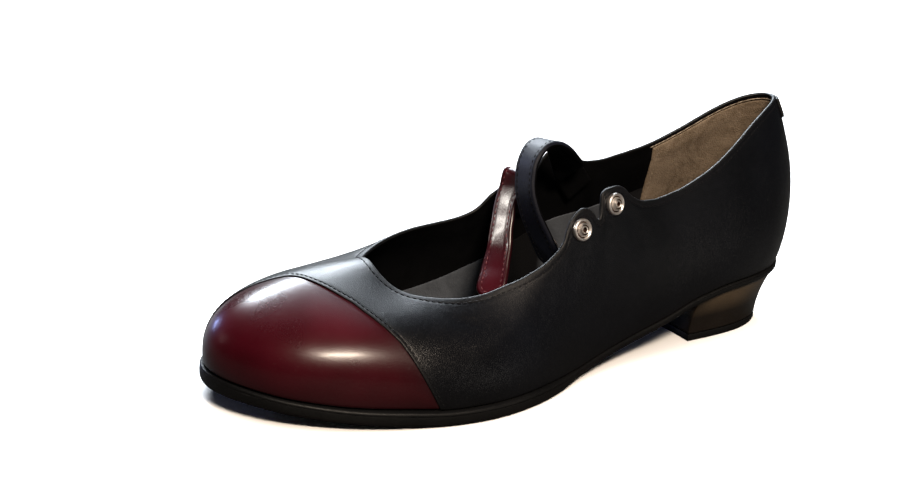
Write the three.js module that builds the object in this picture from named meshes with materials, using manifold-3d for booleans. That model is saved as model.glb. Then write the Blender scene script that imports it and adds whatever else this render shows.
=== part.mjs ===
// A left bar shoe: a low-heeled leather pump with a toe cap, two loose bars and their press studs.
// Millimetres. X runs to the toe, Y to the outer (lateral) side, Z up.
// The origin is the middle of the heel's underside, on the floor.
import * as THREE from 'three';
import { mergeVertices } from 'three/addons/utils/BufferGeometryUtils.js';
import Module from 'manifold-3d';

const wasm = await Module();
wasm.setup();

// Lasted form
const footLength = 252;      // feather line, heel to toe
const ballWidth = 86;        // feather line, across the ball
const mouthHeight = 63;      // back of the collar above the seat
const heelHeight = 20.2;     // underside of the seat above the floor
const toeSpring = 6.6;       // underside of the toe tip above the floor
const heelSetback = 35;      // back of the feather line behind the origin

// Leather and gaps
const wall = 2.6;            // upper with its lining
const capLeather = 0.9;      // toe cap
const capSink = 0.3;         // face of the cap below the face of the vamp
const clearance = 0.3;       // between curved pieces that meet
const insoleThickness = 1.8;
const facetRoom = 0.25;      // what flat facets need beside a curved wall
const insoleBevel = 0.4;

// Sole and heel
const waistSole = 2.8;       // thickness under the waist and seat
const foreSole = 5.2;        // thickness under the ball
const waistEdge = 0.5;       // sole beyond the feather line at the waist and toe tip
const foreEdge = 1.8;        // sole beyond the feather line at the ball
const edgeRound = 1.2;       // how far the sole's rims draw in
const topLift = 2.6;         // wearing piece under the heel
const heelPitch = 7.5;       // how far the heel's back leans in at the floor
const heelNarrow = 0.2;      // share of the width lost at the floor
const breastAt = 25;         // heel breast ahead of the origin
const breastPitch = 1.5;     // how far the breast leans back at the floor
const breastHollow = 1.6;    // how far the breast is hollowed

// Bars and press studs
const barThickness = 2.2;
const barSeat = 1;           // from the wall's lining to a bar where it is sewn in
const frontBarWidth = 11;
const rearBarWidth = 12;
const studRadius = 4;
const studHeight = 2.1;
const socketRadius = 4.4;
const socketHeight = 1.4;
const socketLift = 0.4;      // what the curl of the bar needs under a flat socket

// Back tab over the top of the heel seam
const tabThickness = 0.8;

// The two outlines of the upper and the sides between them, one row for each section round the shoe.
// along and side place the feather line, mouthAlong, mouthSide and mouthHigh the top envelope.
// Lengths are shares: along of footLength, side of ballWidth, the rest of mouthHeight; slope is in degrees.
const lastColumns = ['along', 'side', 'mouthAlong', 'mouthSide', 'mouthHigh', 'flare', 'rise', 'reach', 'slope'];
const lastRows = [
  ['toeTip',    1.000, -0.065, 0.770, -0.006, 0.622, 0.058, 0.368, 0.510,  5],
  ['toeLatA',   0.986,  0.100, 0.771,  0.078, 0.580, 0.056, 0.352, 0.470,  7],
  ['toeLatB',   0.943,  0.258, 0.760,  0.156, 0.528, 0.052, 0.320, 0.405, 11],
  ['toeLatC',   0.870,  0.388, 0.735,  0.224, 0.507, 0.050, 0.280, 0.336, 18],
  ['ballLatA',  0.778,  0.482, 0.694,  0.282, 0.500, 0.046, 0.232, 0.278, 30],
  ['ballLatB',  0.677,  0.524, 0.636,  0.312, 0.532, 0.033, 0.200, 0.260, 44],
  ['waistLatA', 0.576,  0.472, 0.571,  0.312, 0.664, 0.020, 0.208, 0.286, 61],
  ['waistLatB', 0.483,  0.386, 0.496,  0.289, 0.872, 0.012, 0.246, 0.320, 73],
  ['waistLatC', 0.391,  0.334, 0.412,  0.260, 0.924, 0.018, 0.253, 0.322, 76],
  ['seatLatA',  0.289,  0.318, 0.316,  0.238, 0.730, 0.040, 0.234, 0.284, 76],
  ['seatLatB',  0.187,  0.303, 0.206,  0.205, 0.730, 0.062, 0.250, 0.300, 73],
  ['seatLatC',  0.095,  0.257, 0.118,  0.143, 0.892, 0.084, 0.280, 0.334, 68],
  ['heelLat',   0.028,  0.152, 0.056,  0.080, 0.995, 0.092, 0.312, 0.373, 63],
  ['heelBack',  0.000,  0.000, 0.032,  0.000, 1.014, 0.091, 0.324, 0.376, 62],
  ['heelMed',   0.028, -0.158, 0.056, -0.080, 0.990, 0.088, 0.312, 0.370, 64],
  ['seatMedC',  0.094, -0.266, 0.116, -0.143, 0.885, 0.079, 0.280, 0.330, 69],
  ['seatMedB',  0.185, -0.302, 0.200, -0.205, 0.730, 0.058, 0.250, 0.296, 75],
  ['seatMedA',  0.289, -0.298, 0.303, -0.234, 0.758, 0.038, 0.232, 0.278, 77],
  ['waistMedC', 0.392, -0.290, 0.385, -0.246, 0.918, 0.020, 0.256, 0.320, 74],
  ['waistMedB', 0.496, -0.322, 0.466, -0.260, 0.826, 0.020, 0.258, 0.320, 70],
  ['waistMedA', 0.599, -0.390, 0.545, -0.284, 0.680, 0.022, 0.224, 0.296, 59],
  ['ballMedB',  0.718, -0.450, 0.622, -0.297, 0.622, 0.040, 0.224, 0.276, 44],
  ['ballMedA',  0.820, -0.450, 0.683, -0.274, 0.582, 0.056, 0.262, 0.304, 30],
  ['toeMedC',   0.902, -0.398, 0.723, -0.218, 0.558, 0.060, 0.316, 0.364, 17],
  ['toeMedB',   0.956, -0.312, 0.746, -0.154, 0.568, 0.060, 0.352, 0.430, 10],
  ['toeMedA',   0.988, -0.200, 0.761, -0.086, 0.603, 0.060, 0.366, 0.488,  6],
];

// Underside of the sole from heel to toe: along as a share of footLength, lift of heelHeight,
// spring of toeSpring, thick from waistSole (0) to foreSole (1) and edge from waistEdge to foreEdge.
const bedRows = [
  [-0.030, 1.000, 0.00, 0.00, 0.00],
  [ 0.090, 1.000, 0.00, 0.00, 0.00],
  [ 0.165, 0.980, 0.00, 0.00, 0.00],
  [ 0.235, 0.865, 0.00, 0.00, 0.00],
  [ 0.315, 0.575, 0.00, 0.00, 0.00],
  [ 0.395, 0.350, 0.00, 0.00, 0.00],
  [ 0.480, 0.145, 0.00, 0.10, 0.10],
  [ 0.550, 0.020, 0.00, 0.80, 0.80],
  [ 0.600, 0.000, 0.00, 1.00, 1.00],
  [ 0.740, 0.000, 0.00, 1.00, 1.00],
  [ 0.805, 0.000, 0.15, 1.00, 0.90],
  [ 0.870, 0.000, 0.36, 0.90, 0.65],
  [ 0.945, 0.000, 0.72, 0.80, 0.20],
  [ 1.010, 0.000, 1.00, 0.85, 0.00],
];

// Topline round the shoe, as turn (0 toe, 0.25 outer side, 0.5 heel, 0.75 inner side) and the share
// of the side's height that the leather reaches: two lobes with a notch on each side.
const toplineRows = [
  [0.0000, 1.000], [0.1920, 0.995], [0.2220, 0.950], [0.2405, 0.914], [0.2495, 0.908],
  [0.2555, 0.920], [0.2600, 0.965], [0.2650, 0.995], [0.2720, 1.000], [0.2790, 0.965],
  [0.2840, 0.910], [0.2870, 0.858], [0.2895, 0.885], [0.2918, 0.985], [0.2970, 1.000],
  [0.3080, 1.000], [0.3135, 0.985], [0.3185, 0.952], [0.3260, 0.938], [0.3380, 0.965],
  [0.3540, 1.000], [0.6400, 1.000], [0.6560, 0.978], [0.6680, 0.955], [0.6760, 0.968],
  [0.6810, 0.995], [0.6840, 1.000], [0.7000, 1.000], [0.7040, 0.965], [0.7080, 0.860],
  [0.7130, 0.820], [0.7180, 0.860], [0.7220, 0.965], [0.7255, 1.000], [0.7450, 1.000],
  [0.7490, 0.980], [0.7530, 0.952], [0.7580, 0.942], [0.7660, 0.948], [0.7860, 0.972],
  [0.8120, 0.993], [0.8300, 1.000], [1.0000, 1.000],
];

// Seam of the toe cap, as turn and share of the side's height: low on the outer side, over the toe,
// and down to the feather line near the tip on the inner side.
const capRows = [
  [-0.0580, 0.260], [-0.0530, 0.350], [-0.0440, 0.465], [-0.0310, 0.590], [-0.0145, 0.690],
  [ 0.0120, 0.738], [ 0.0330, 0.762], [ 0.0520, 0.768], [ 0.0700, 0.745], [ 0.0860, 0.704],
  [ 0.1125, 0.585], [ 0.1270, 0.475], [ 0.1380, 0.360], [ 0.1495, 0.200], [ 0.1580, 0.040],
];

// Each bar leaves the wall at two places (turn, share of the side's height) with its width at a slant
// to the topline. Then its middle line rises, curls over and drops into the shoe: shares of footLength,
// ballWidth and mouthHeight (above the bed), and the plan and tilt angles of its width.
const frontBarRoot = { seats: [[0.7140, 0.760], [0.7260, 0.860]], slant: 39 };
const rearBarRoot = { seats: [[0.6700, 0.760], [0.6825, 0.870]], slant: 54 };
const frontBarRows = [
  [0.471, -0.181, 0.763, -28, -13],
  [0.473, -0.161, 0.843, -47,   2],
  [0.475, -0.162, 0.896, -66,   8],
  [0.483, -0.157, 0.909, -74,   5],
  [0.490, -0.157, 0.834, -82,  -4],
  [0.500, -0.148, 0.733, -85, -10],
  [0.511, -0.119, 0.626, -83, -13],
  [0.523, -0.081, 0.527, -75, -14],
  [0.539, -0.040, 0.441, -65, -11],
  [0.551, -0.007, 0.387, -58,  -8],
  [0.563,  0.022, 0.326, -52,  -5],
  [0.570,  0.037, 0.296, -49,  -3],
];
const rearBarRows = [
  [0.385, -0.146, 0.820, -28, -30],
  [0.406, -0.107, 0.922, -53, -10],
  [0.428, -0.080, 1.030, -73,  -4],
  [0.453, -0.063, 1.103, -83,  -6],
  [0.480, -0.049, 1.114, -89, -10],
  [0.499, -0.033, 1.043, -94, -14],
  [0.506, -0.013, 0.922, -97, -16],
  [0.503,  0.015, 0.795, -96, -18],
  [0.492,  0.042, 0.667, -92, -18],
  [0.479,  0.066, 0.548, -88, -16],
  [0.466,  0.088, 0.435, -84, -14],
];

const leatherBlack = { color: 0x17181d, roughness: 0.34 };
const leatherWine = { color: 0x4a141c, roughness: 0.24 };
const soleBlack = { color: 0x131314, roughness: 0.55 };
const insoleGrey = { color: 0x3a3a3e, roughness: 0.8 };
const studMetal = { color: 0xc9c6c0, roughness: 0.25, metalness: 1 };

// Closed cubic spline through the last rows, one set of second slopes for each column.
function closedSpline(values) {
  const n = values.length;
  const system = values.map((v, i) => {
    const line = new Array(n + 1).fill(0);
    line[i] += 4;
    line[(i + 1) % n] += 1;
    line[(i + n - 1) % n] += 1;
    line[n] = 6 * (values[(i + 1) % n] - 2 * v + values[(i + n - 1) % n]);
    return line;
  });
  for (let i = 0; i < n; i++) {
    for (let j = i + 1; j < n; j++) {
      const factor = system[j][i] / system[i][i];
      for (let k = i; k <= n; k++) system[j][k] -= factor * system[i][k];
    }
  }
  const bend = new Array(n).fill(0);
  for (let i = n - 1; i >= 0; i--) {
    let sum = system[i][n];
    for (let k = i + 1; k < n; k++) sum -= system[i][k] * bend[k];
    bend[i] = sum / system[i][i];
  }
  return (turn) => {
    const place = (turn - Math.floor(turn)) * n;
    const i = Math.min(Math.floor(place), n - 1);
    const j = (i + 1) % n;
    const b = place - i;
    const a = 1 - b;
    return a * values[i] + b * values[j] + ((a ** 3 - a) * bend[i] + (b ** 3 - b) * bend[j]) / 6;
  };
}

// Smooth line through rows of [place, value] that never swings past a row.
function monotone(rows, column = 1) {
  const x = rows.map((r) => r[0]);
  const y = rows.map((r) => r[column]);
  const slope = x.slice(1).map((v, i) => (y[i + 1] - y[i]) / (v - x[i]));
  const tangent = x.map((v, i) => {
    if (i === 0 || i === x.length - 1) return 0;
    const before = slope[i - 1];
    const after = slope[i];
    if (before * after <= 0) return 0;
    const h0 = x[i] - x[i - 1];
    const h1 = x[i + 1] - x[i];
    return (3 * (h0 + h1)) / ((2 * h1 + h0) / before + (h1 + 2 * h0) / after);
  });
  return (at) => {
    const p = Math.min(Math.max(at, x[0]), x[x.length - 1]);
    let i = 0;
    while (i < x.length - 2 && p > x[i + 1]) i += 1;
    const h = x[i + 1] - x[i];
    const t = (p - x[i]) / h;
    return (
      y[i] * (1 + 2 * t) * (1 - t) ** 2 + y[i + 1] * t * t * (3 - 2 * t) +
      h * tangent[i] * t * (1 - t) ** 2 - h * tangent[i + 1] * t * t * (1 - t)
    );
  };
}

const lastCurve = {};
lastColumns.forEach((name, i) => {
  lastCurve[name] = closedSpline(lastRows.map((row) => row[i + 1]));
});
const liftAt = monotone(bedRows, 1);
const springAt = monotone(bedRows, 2);
const thickAt = monotone(bedRows, 3);
const edgeAt = monotone(bedRows, 4);
const toplineAt = monotone(toplineRows);
const capSeamAt = monotone(capRows);

const alongOf = (x) => (x + heelSetback) / footLength;
const undersideAt = (x) => heelHeight * liftAt(alongOf(x)) + toeSpring * springAt(alongOf(x));
const soleThicknessAt = (x) => waistSole + (foreSole - waistSole) * thickAt(alongOf(x));
const bedAt = (x) => undersideAt(x) + soleThicknessAt(x) + clearance;

// A point of the upper's outer face: turn goes round the shoe, up from the feather line (0) to the mouth (1).
function sidePoint(turn, up) {
  const step = 1e-4;
  const at = (name, t = turn) => lastCurve[name](t);
  const plan = (a, b, t) => new THREE.Vector2(at(a, t) * footLength - heelSetback, at(b, t) * ballWidth);
  const outward = (a, b) => {
    const run = plan(a, b, turn + step).sub(plan(a, b, turn - step)).normalize();
    return new THREE.Vector3(run.y, -run.x, 0);
  };
  const foot = plan('along', 'side');
  const mouth = plan('mouthAlong', 'mouthSide');
  const p0 = new THREE.Vector3(foot.x, foot.y, bedAt(foot.x));
  const p3 = new THREE.Vector3(mouth.x, mouth.y, bedAt(mouth.x) + at('mouthHigh') * mouthHeight);
  const p1 = p0.clone().addScaledVector(outward('along', 'side'), at('flare') * mouthHeight);
  p1.z += at('rise') * mouthHeight;
  const slope = THREE.MathUtils.degToRad(at('slope'));
  const reach = at('reach') * mouthHeight;
  const p2 = p3.clone().addScaledVector(outward('mouthAlong', 'mouthSide'), reach * Math.cos(slope));
  p2.z -= reach * Math.sin(slope);
  const down = 1 - up;
  return new THREE.Vector3()
    .addScaledVector(p0, down ** 3)
    .addScaledVector(p1, 3 * down * down * up)
    .addScaledVector(p2, 3 * down * up * up)
    .addScaledVector(p3, up ** 3);
}

function sideNormal(turn, up) {
  const step = 1e-3;
  const round = sidePoint(turn + step, up).sub(sidePoint(turn - step, up));
  const rise = sidePoint(turn, up + step).sub(sidePoint(turn, up - step));
  return round.cross(rise).normalize();
}

// The same point sunk below the outer face by depth.
const wallPoint = (turn, up, depth) => sidePoint(turn, up).addScaledVector(sideNormal(turn, up), -depth);

// Triangles to a geometry with its faces pointing out.
function solidFrom(points, faces) {
  const geometry = new THREE.BufferGeometry();
  geometry.setAttribute('position', new THREE.Float32BufferAttribute(points.flatMap((p) => [p.x, p.y, p.z]), 3));
  let volume = 0;
  for (const [a, b, c] of faces) volume += points[a].dot(points[b].clone().cross(points[c]));
  geometry.setIndex((volume > 0 ? faces : faces.map(([a, b, c]) => [a, c, b])).flat());
  return mergeVertices(geometry, 1e-5);
}

const quad = (a, b, c, d) => [[a, b, c], [a, c, d]];

// Wall between two depths over part of the upper. columns lists the turns, upsAt gives the heights of a column.
function wallSolid({ columns, upsAt, outer, inner, closed = false }) {
  const points = [];
  const faces = [];
  const grid = [outer, inner].map((depth) =>
    columns.map((turn) => upsAt(turn).map((up) => points.push(wallPoint(turn, up, depth)) - 1)));
  const rows = grid[0][0].length;
  const spans = closed ? columns.length : columns.length - 1;
  for (let i = 0; i < spans; i++) {
    const j = (i + 1) % columns.length;
    for (let k = 0; k < rows - 1; k++) {
      faces.push(...quad(grid[0][i][k], grid[0][j][k], grid[0][j][k + 1], grid[0][i][k + 1]));
      faces.push(...quad(grid[1][i][k], grid[1][i][k + 1], grid[1][j][k + 1], grid[1][j][k]));
    }
    faces.push(...quad(grid[0][i][0], grid[1][i][0], grid[1][j][0], grid[0][j][0]));
    faces.push(...quad(grid[0][i][rows - 1], grid[0][j][rows - 1], grid[1][j][rows - 1], grid[1][i][rows - 1]));
  }
  if (!closed) {
    const last = columns.length - 1;
    for (let k = 0; k < rows - 1; k++) {
      faces.push(...quad(grid[0][0][k], grid[0][0][k + 1], grid[1][0][k + 1], grid[1][0][k]));
      faces.push(...quad(grid[0][last][k], grid[1][last][k], grid[1][last][k + 1], grid[0][last][k + 1]));
    }
  }
  return solidFrom(points, faces);
}

// Closed solid through rings of points. Point i of a ring faces point (count - 1 - i) across it.
function ringSolid(rings) {
  const points = rings.flat();
  const count = rings[0].length;
  const faces = [];
  for (let r = 0; r < rings.length - 1; r++) {
    for (let i = 0; i < count; i++) {
      const j = (i + 1) % count;
      faces.push(...quad(r * count + i, r * count + j, (r + 1) * count + j, (r + 1) * count + i));
    }
  }
  for (const [start, flip] of [[0, true], [(rings.length - 1) * count, false]]) {
    for (let i = 0; i < count / 2 - 1; i++) {
      const across = count - 1 - i;
      const cap = quad(start + i, start + i + 1, start + across - 1, start + across);
      faces.push(...(flip ? cap.map(([a, b, c]) => [a, c, b]) : cap));
    }
  }
  return solidFrom(points, faces);
}

// Joins and cuts
function toManifold(geometry) {
  const bare = geometry.clone();
  bare.deleteAttribute('normal');
  bare.deleteAttribute('uv');
  const merged = mergeVertices(bare, 1e-4);
  return new wasm.Manifold(new wasm.Mesh({
    numProp: 3,
    vertProperties: new Float32Array(merged.attributes.position.array),
    triVerts: new Uint32Array(merged.index.array),
  }));
}

function fromManifold(manifold) {
  const mesh = manifold.getMesh();
  const geometry = new THREE.BufferGeometry();
  geometry.setAttribute('position', new THREE.BufferAttribute(new Float32Array(mesh.vertProperties), 3));
  geometry.setIndex(new THREE.BufferAttribute(new Uint32Array(mesh.triVerts), 1));
  return geometry;
}

// Even steps from each start to the next, with the given count of steps in each stretch.
function stretches(rows) {
  return rows.slice(0, -1).flatMap(([start, count], i) => {
    const end = rows[i + 1][0];
    return Array.from({ length: count }, (unused, k) => start + ((end - start) * k) / count);
  });
}

// Upper: one open wall from the feather line to the topline, with a bed let in for the toe cap.
const fixedHeights = [0, 0.06, 0.15, 0.26, 0.38, 0.5, 0.61, 0.7];
const topShares = [0.3, 0.6, 0.84, 1];
const freeHeight = fixedHeights[fixedHeights.length - 1];

function upperHeights(turn) {
  const top = toplineAt(turn);
  return [...fixedHeights, ...topShares.map((share) => freeHeight + (top - freeHeight) * share)];
}

const upperColumns = stretches([
  [0, 16], [0.2, 8], [0.25, 24], [0.326, 6], [0.37, 16], [0.63, 8], [0.672, 28], [0.762, 8], [0.83, 14], [1, 0],
]);

const capEnds = [capRows[0][0], capRows[capRows.length - 1][0]];
const capColumns = stretches([
  [capEnds[0], 6], [-0.03, 14], [0.11, 8], [capEnds[1], 1], [capEnds[1] + 1e-3, 0],
]).filter((turn) => turn <= capEnds[1] + 1e-6);
const gapUp = clearance / mouthHeight;
const gapTurn = clearance / footLength;
const bedSeamAt = (turn) => Math.max(capSeamAt(turn - gapTurn), capSeamAt(turn + gapTurn)) + gapUp;
const capShares = [0, 0.1, 0.22, 0.35, 0.48, 0.6, 0.71, 0.81, 0.91, 1];
const capHeights = (turn) => capShares.map((share) => capSeamAt(turn) * share);
const bedHeights = (turn) => [-0.04, ...capHeights(turn), bedSeamAt(turn)];

function makeUpper() {
  const shell = wallSolid({ columns: upperColumns, upsAt: upperHeights, outer: 0, inner: wall, closed: true });
  const bedColumns = [capEnds[0] - gapTurn, ...capColumns, capEnds[1] + gapTurn];
  const bed = wallSolid({
    columns: bedColumns,
    upsAt: bedHeights,
    outer: -wall,
    inner: capSink + capLeather + clearance,
  });
  return fromManifold(toManifold(shell).subtract(toManifold(bed)));
}

const makeToeCap = () => wallSolid({
  columns: capColumns,
  upsAt: capHeights,
  outer: capSink,
  inner: capSink + capLeather,
});

// Back tab: a short facing over the heel seam, on the outside of the collar.
const tabHalf = 0.024;
const tabFoot = 0.875;
const tabHead = 0.985;
const makeBackTab = () => wallSolid({
  columns: stretches([[0.5 - tabHalf, 8], [0.5 + tabHalf, 1], [0.6, 0]]),
  upsAt: () => [tabFoot, (tabFoot + tabHead) / 2, tabHead],
  outer: -clearance - tabThickness,
  inner: -clearance,
});

// Outline of the shoe's bed, grown outwards by grow(x), as half widths at any x.
function bedOutline(grow) {
  const samples = 480;
  const points = Array.from({ length: samples }, (unused, i) => {
    const turn = i / samples;
    const step = 1e-4;
    const plan = (t) => new THREE.Vector2(
      lastCurve.along(t) * footLength - heelSetback, lastCurve.side(t) * ballWidth);
    const run = plan(turn + step).sub(plan(turn - step)).normalize();
    const p = plan(turn);
    const out = grow(p.x);
    return new THREE.Vector2(p.x + run.y * out, p.y - run.x * out);
  });
  let tip = 0;
  let back = 0;
  points.forEach((p, i) => {
    if (p.x > points[tip].x) tip = i;
    if (p.x < points[back].x) back = i;
  });
  const widthAt = (x, from, to) => {
    const count = (to - from + samples) % samples;
    for (let k = 0; k < count; k++) {
      const a = points[(from + k) % samples];
      const b = points[(from + k + 1) % samples];
      if ((a.x - x) * (b.x - x) <= 0 && a.x !== b.x) return a.y + ((b.y - a.y) * (x - a.x)) / (b.x - a.x);
    }
    return points[from].y;
  };
  return {
    start: points[back].x,
    end: points[tip].x,
    outer: (x) => widthAt(x, tip, back),
    inner: (x) => widthAt(x, back, tip),
  };
}

// Sections along X of a plate that follows the bed. edge lists [inset, share of the thickness down],
// and near both tips, where the plate is narrower than tipWidth, the insets shrink with it.
const tipWidth = 8;
function plateSolid({ outline, top, bottom, edge, count }) {
  const length = outline.end - outline.start;
  const margin = 0.0004;
  const rings = Array.from({ length: count + 1 }, (unused, i) => {
    const even = i / count;
    const eased = (1 - Math.cos(Math.PI * even)) / 2;
    const x = outline.start + length * (margin + (1 - 2 * margin) * (0.6 * eased + 0.4 * even));
    const outer = outline.outer(x);
    const inner = outline.inner(x);
    const room = Math.min(1, (outer - inner) / tipWidth);
    const side = (y, sign) => edge.map(([inset, drop]) =>
      new THREE.Vector3(x, y - sign * inset * room, top(x) + (bottom(x) - top(x)) * drop));
    return [...side(outer, 1), ...side(inner, -1).reverse()];
  });
  return ringSolid(rings);
}

const soleEdgeAt = (x) => waistEdge + (foreEdge - waistEdge) * edgeAt(alongOf(x));
const soleTopAt = (x) => bedAt(x) - clearance;
const soleEdge = [[0.9, 0], [0.1, 0.16], [0, 0.5], [0.2, 0.84], [1, 1]].map(
  ([inset, drop]) => [inset * edgeRound, drop]);
const makeOutsole = () => plateSolid({
  outline: bedOutline(soleEdgeAt),
  top: soleTopAt,
  bottom: undersideAt,
  edge: soleEdge,
  count: 46,
});

const makeInsole = () => plateSolid({
  outline: bedOutline(() => -wall - clearance - facetRoom),
  top: (x) => bedAt(x) + insoleThickness,
  bottom: bedAt,
  edge: [[insoleBevel, 0], [0, 0.35], [0, 1]],
  count: 34,
});

// Heel block and its top lift: rings by height, each a D with a hollowed breast.
const heelOutline = bedOutline(() => -waistEdge);

function heelRing(share, zAt) {
  const pull = 1 - share ** 2.2;
  const back = heelOutline.start + heelPitch * pull;
  const breast = breastAt - breastPitch * pull;
  const curveSteps = 12;
  const side = (half, sign) => {
    const points = [];
    for (let i = 0; i <= curveSteps; i++) {
      const eased = 1 - Math.cos((Math.PI / 2) * (0.03 + 0.97 * (i / curveSteps)));
      const x = back + (breast - back) * eased;
      const fullX = heelOutline.start + (breastAt - heelOutline.start) * eased;
      const narrow = 1 - heelNarrow * pull * (0.4 + 0.6 * eased);
      points.push(new THREE.Vector3(x, half(fullX) * narrow, zAt(x)));
    }
    const edge = points[points.length - 1];
    for (const [across, hollow] of [[0.55, 0.8], [0.04, 1]]) {
      const x = edge.x - breastHollow * hollow;
      points.push(new THREE.Vector3(x, edge.y * across, zAt(x)));
    }
    return sign > 0 ? points : points.reverse();
  };
  return [...side(heelOutline.outer, 1), ...side(heelOutline.inner, -1)];
}

function makeHeelBlock() {
  const foot = topLift + clearance;
  const levels = [0, 0.12, 0.28, 0.46, 0.64, 0.82, 1];
  const startShare = foot / heelHeight;
  return ringSolid(levels.map((level) => heelRing(
    startShare + (1 - startShare) * level,
    (x) => foot + (undersideAt(x) - clearance - foot) * level,
  )));
}

const makeTopLift = () => ringSolid([
  heelRing(0, () => 0),
  heelRing(topLift / heelHeight, () => topLift),
]);

// Bars: a flat strip sewn inside the inner side, that rises, curls over and drops into the shoe.
function makeBar({ rows, width, root }) {
  const sunk = wall + barSeat + barThickness / 2;
  const slant = THREE.MathUtils.degToRad(root.slant);
  const step = 4e-3;
  const centres = [];
  const widths = [];
  for (const [turn, up] of root.seats) {
    const toeward = sidePoint(turn + step, up).sub(sidePoint(turn - step, up)).normalize();
    const down = sidePoint(turn, up - step).sub(sidePoint(turn, up + step)).normalize();
    centres.push(wallPoint(turn, up, sunk));
    widths.push(toeward.multiplyScalar(Math.cos(slant)).addScaledVector(down, Math.sin(slant)));
  }
  for (const [along, side, high, plan, tilt] of rows) {
    const x = along * footLength - heelSetback;
    const a = THREE.MathUtils.degToRad(plan);
    const b = THREE.MathUtils.degToRad(tilt);
    centres.push(new THREE.Vector3(x, side * ballWidth, bedAt(x) + high * mouthHeight));
    widths.push(new THREE.Vector3(Math.cos(a) * Math.cos(b), Math.sin(a) * Math.cos(b), Math.sin(b)));
  }
  const path = new THREE.CatmullRomCurve3(centres, false, 'centripetal');
  const lean = new THREE.CatmullRomCurve3(widths, false, 'centripetal');
  const steps = 40;
  const tipShare = width / 2 / path.getLength();
  const shares = [];
  for (let i = 0; i <= steps; i++) shares.push((1 - tipShare) * (i / steps));
  for (const part of [0.35, 0.65, 0.88, 0.985]) shares.push(1 - tipShare + tipShare * part);
  const frames = shares.map((share) => {
    const t = path.getUtoTmapping(share);
    const centre = path.getPoint(t);
    const tangent = path.getTangent(t);
    const across = lean.getPoint(t);
    across.addScaledVector(tangent, -across.dot(tangent)).normalize();
    const face = new THREE.Vector3().crossVectors(across, tangent).normalize();
    const past = Math.max(0, (share - (1 - tipShare)) / tipShare);
    const half = (width / 2) * Math.sqrt(1 - past * past);
    return { centre, tangent, across, face, half };
  });
  const rings = frames.map(({ centre, across, face, half }) => [[1, 1], [1, -1], [-1, -1], [-1, 1]].map(
    ([w, f]) => centre.clone().addScaledVector(across, w * half).addScaledVector(face, (f * barThickness) / 2)));
  return { geometry: ringSolid(rings), frames, steps };
}

const frontBar = makeBar({ rows: frontBarRows, width: frontBarWidth, root: frontBarRoot });
const rearBar = makeBar({ rows: rearBarRows, width: rearBarWidth, root: rearBarRoot });

// Press studs: the post half on each outer lobe, the socket half on each bar's tip.
const studSides = 20;
function makeStud() {
  const r = studRadius;
  const h = studHeight;
  const profile = [
    [0, 0], [r, 0], [r, 0.28 * h], [0.86 * r, 0.45 * h], [0.68 * r, 0.45 * h], [0.62 * r, 0.9 * h],
    [0.5 * r, h], [0.34 * r, 0.86 * h], [0.28 * r, 0.4 * h], [0, 0.4 * h],
  ].map(([x, y]) => new THREE.Vector2(x, y));
  return new THREE.LatheGeometry(profile, studSides);
}

function makeSocket() {
  const r = socketRadius;
  const h = socketHeight;
  const profile = [[0, 0], [r, 0], [r, 0.35 * h], [0.8 * r, 0.8 * h], [0.45 * r, h], [0, h]]
    .map(([x, y]) => new THREE.Vector2(x, y));
  return new THREE.LatheGeometry(profile, studSides);
}

// Stands a lathe, whose axis is Y, on a point with its axis along a direction.
function standOn(mesh, point, direction) {
  mesh.position.copy(point);
  mesh.quaternion.setFromUnitVectors(new THREE.Vector3(0, 1, 0), direction);
  return mesh;
}

function cleanLathe(geometry) {
  geometry.deleteAttribute('normal');
  geometry.deleteAttribute('uv');
  const merged = mergeVertices(geometry, 1e-4);
  return fromManifold(toManifold(merged));
}

const group = new THREE.Group();

function addPiece(name, geometry, look) {
  const mesh = new THREE.Mesh(geometry, new THREE.MeshStandardMaterial(look));
  mesh.name = name;
  group.add(mesh);
  return mesh;
}

addPiece('upper', makeUpper(), leatherBlack);
addPiece('toe_cap', makeToeCap(), leatherWine);
addPiece('back_tab', makeBackTab(), leatherBlack);
addPiece('insole', makeInsole(), insoleGrey);
addPiece('outsole', makeOutsole(), soleBlack);
addPiece('heel_block', makeHeelBlock(), leatherBlack);
addPiece('heel_top_lift', makeTopLift(), soleBlack);
addPiece('bar_front', frontBar.geometry, leatherWine);
addPiece('bar_rear', rearBar.geometry, leatherBlack);

for (const [name, turn, up] of [['stud_front', 0.271, 0.89], ['stud_rear', 0.3015, 0.9]]) {
  const stud = addPiece(name, cleanLathe(makeStud()), studMetal);
  standOn(stud, wallPoint(turn, up, -clearance), sideNormal(turn, up));
}

for (const [name, bar] of [['socket_front', frontBar], ['socket_rear', rearBar]]) {
  const socket = addPiece(name, cleanLathe(makeSocket()), studMetal);
  const { centre, face } = bar.frames[bar.steps - 1];
  const seat = barThickness / 2 + clearance + socketLift;
  standOn(socket, centre.clone().addScaledVector(face, -seat), face.clone().negate());
}

export default group;
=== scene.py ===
import math

import bmesh
import bpy
import numpy as np
from mathutils import Matrix, Vector


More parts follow.
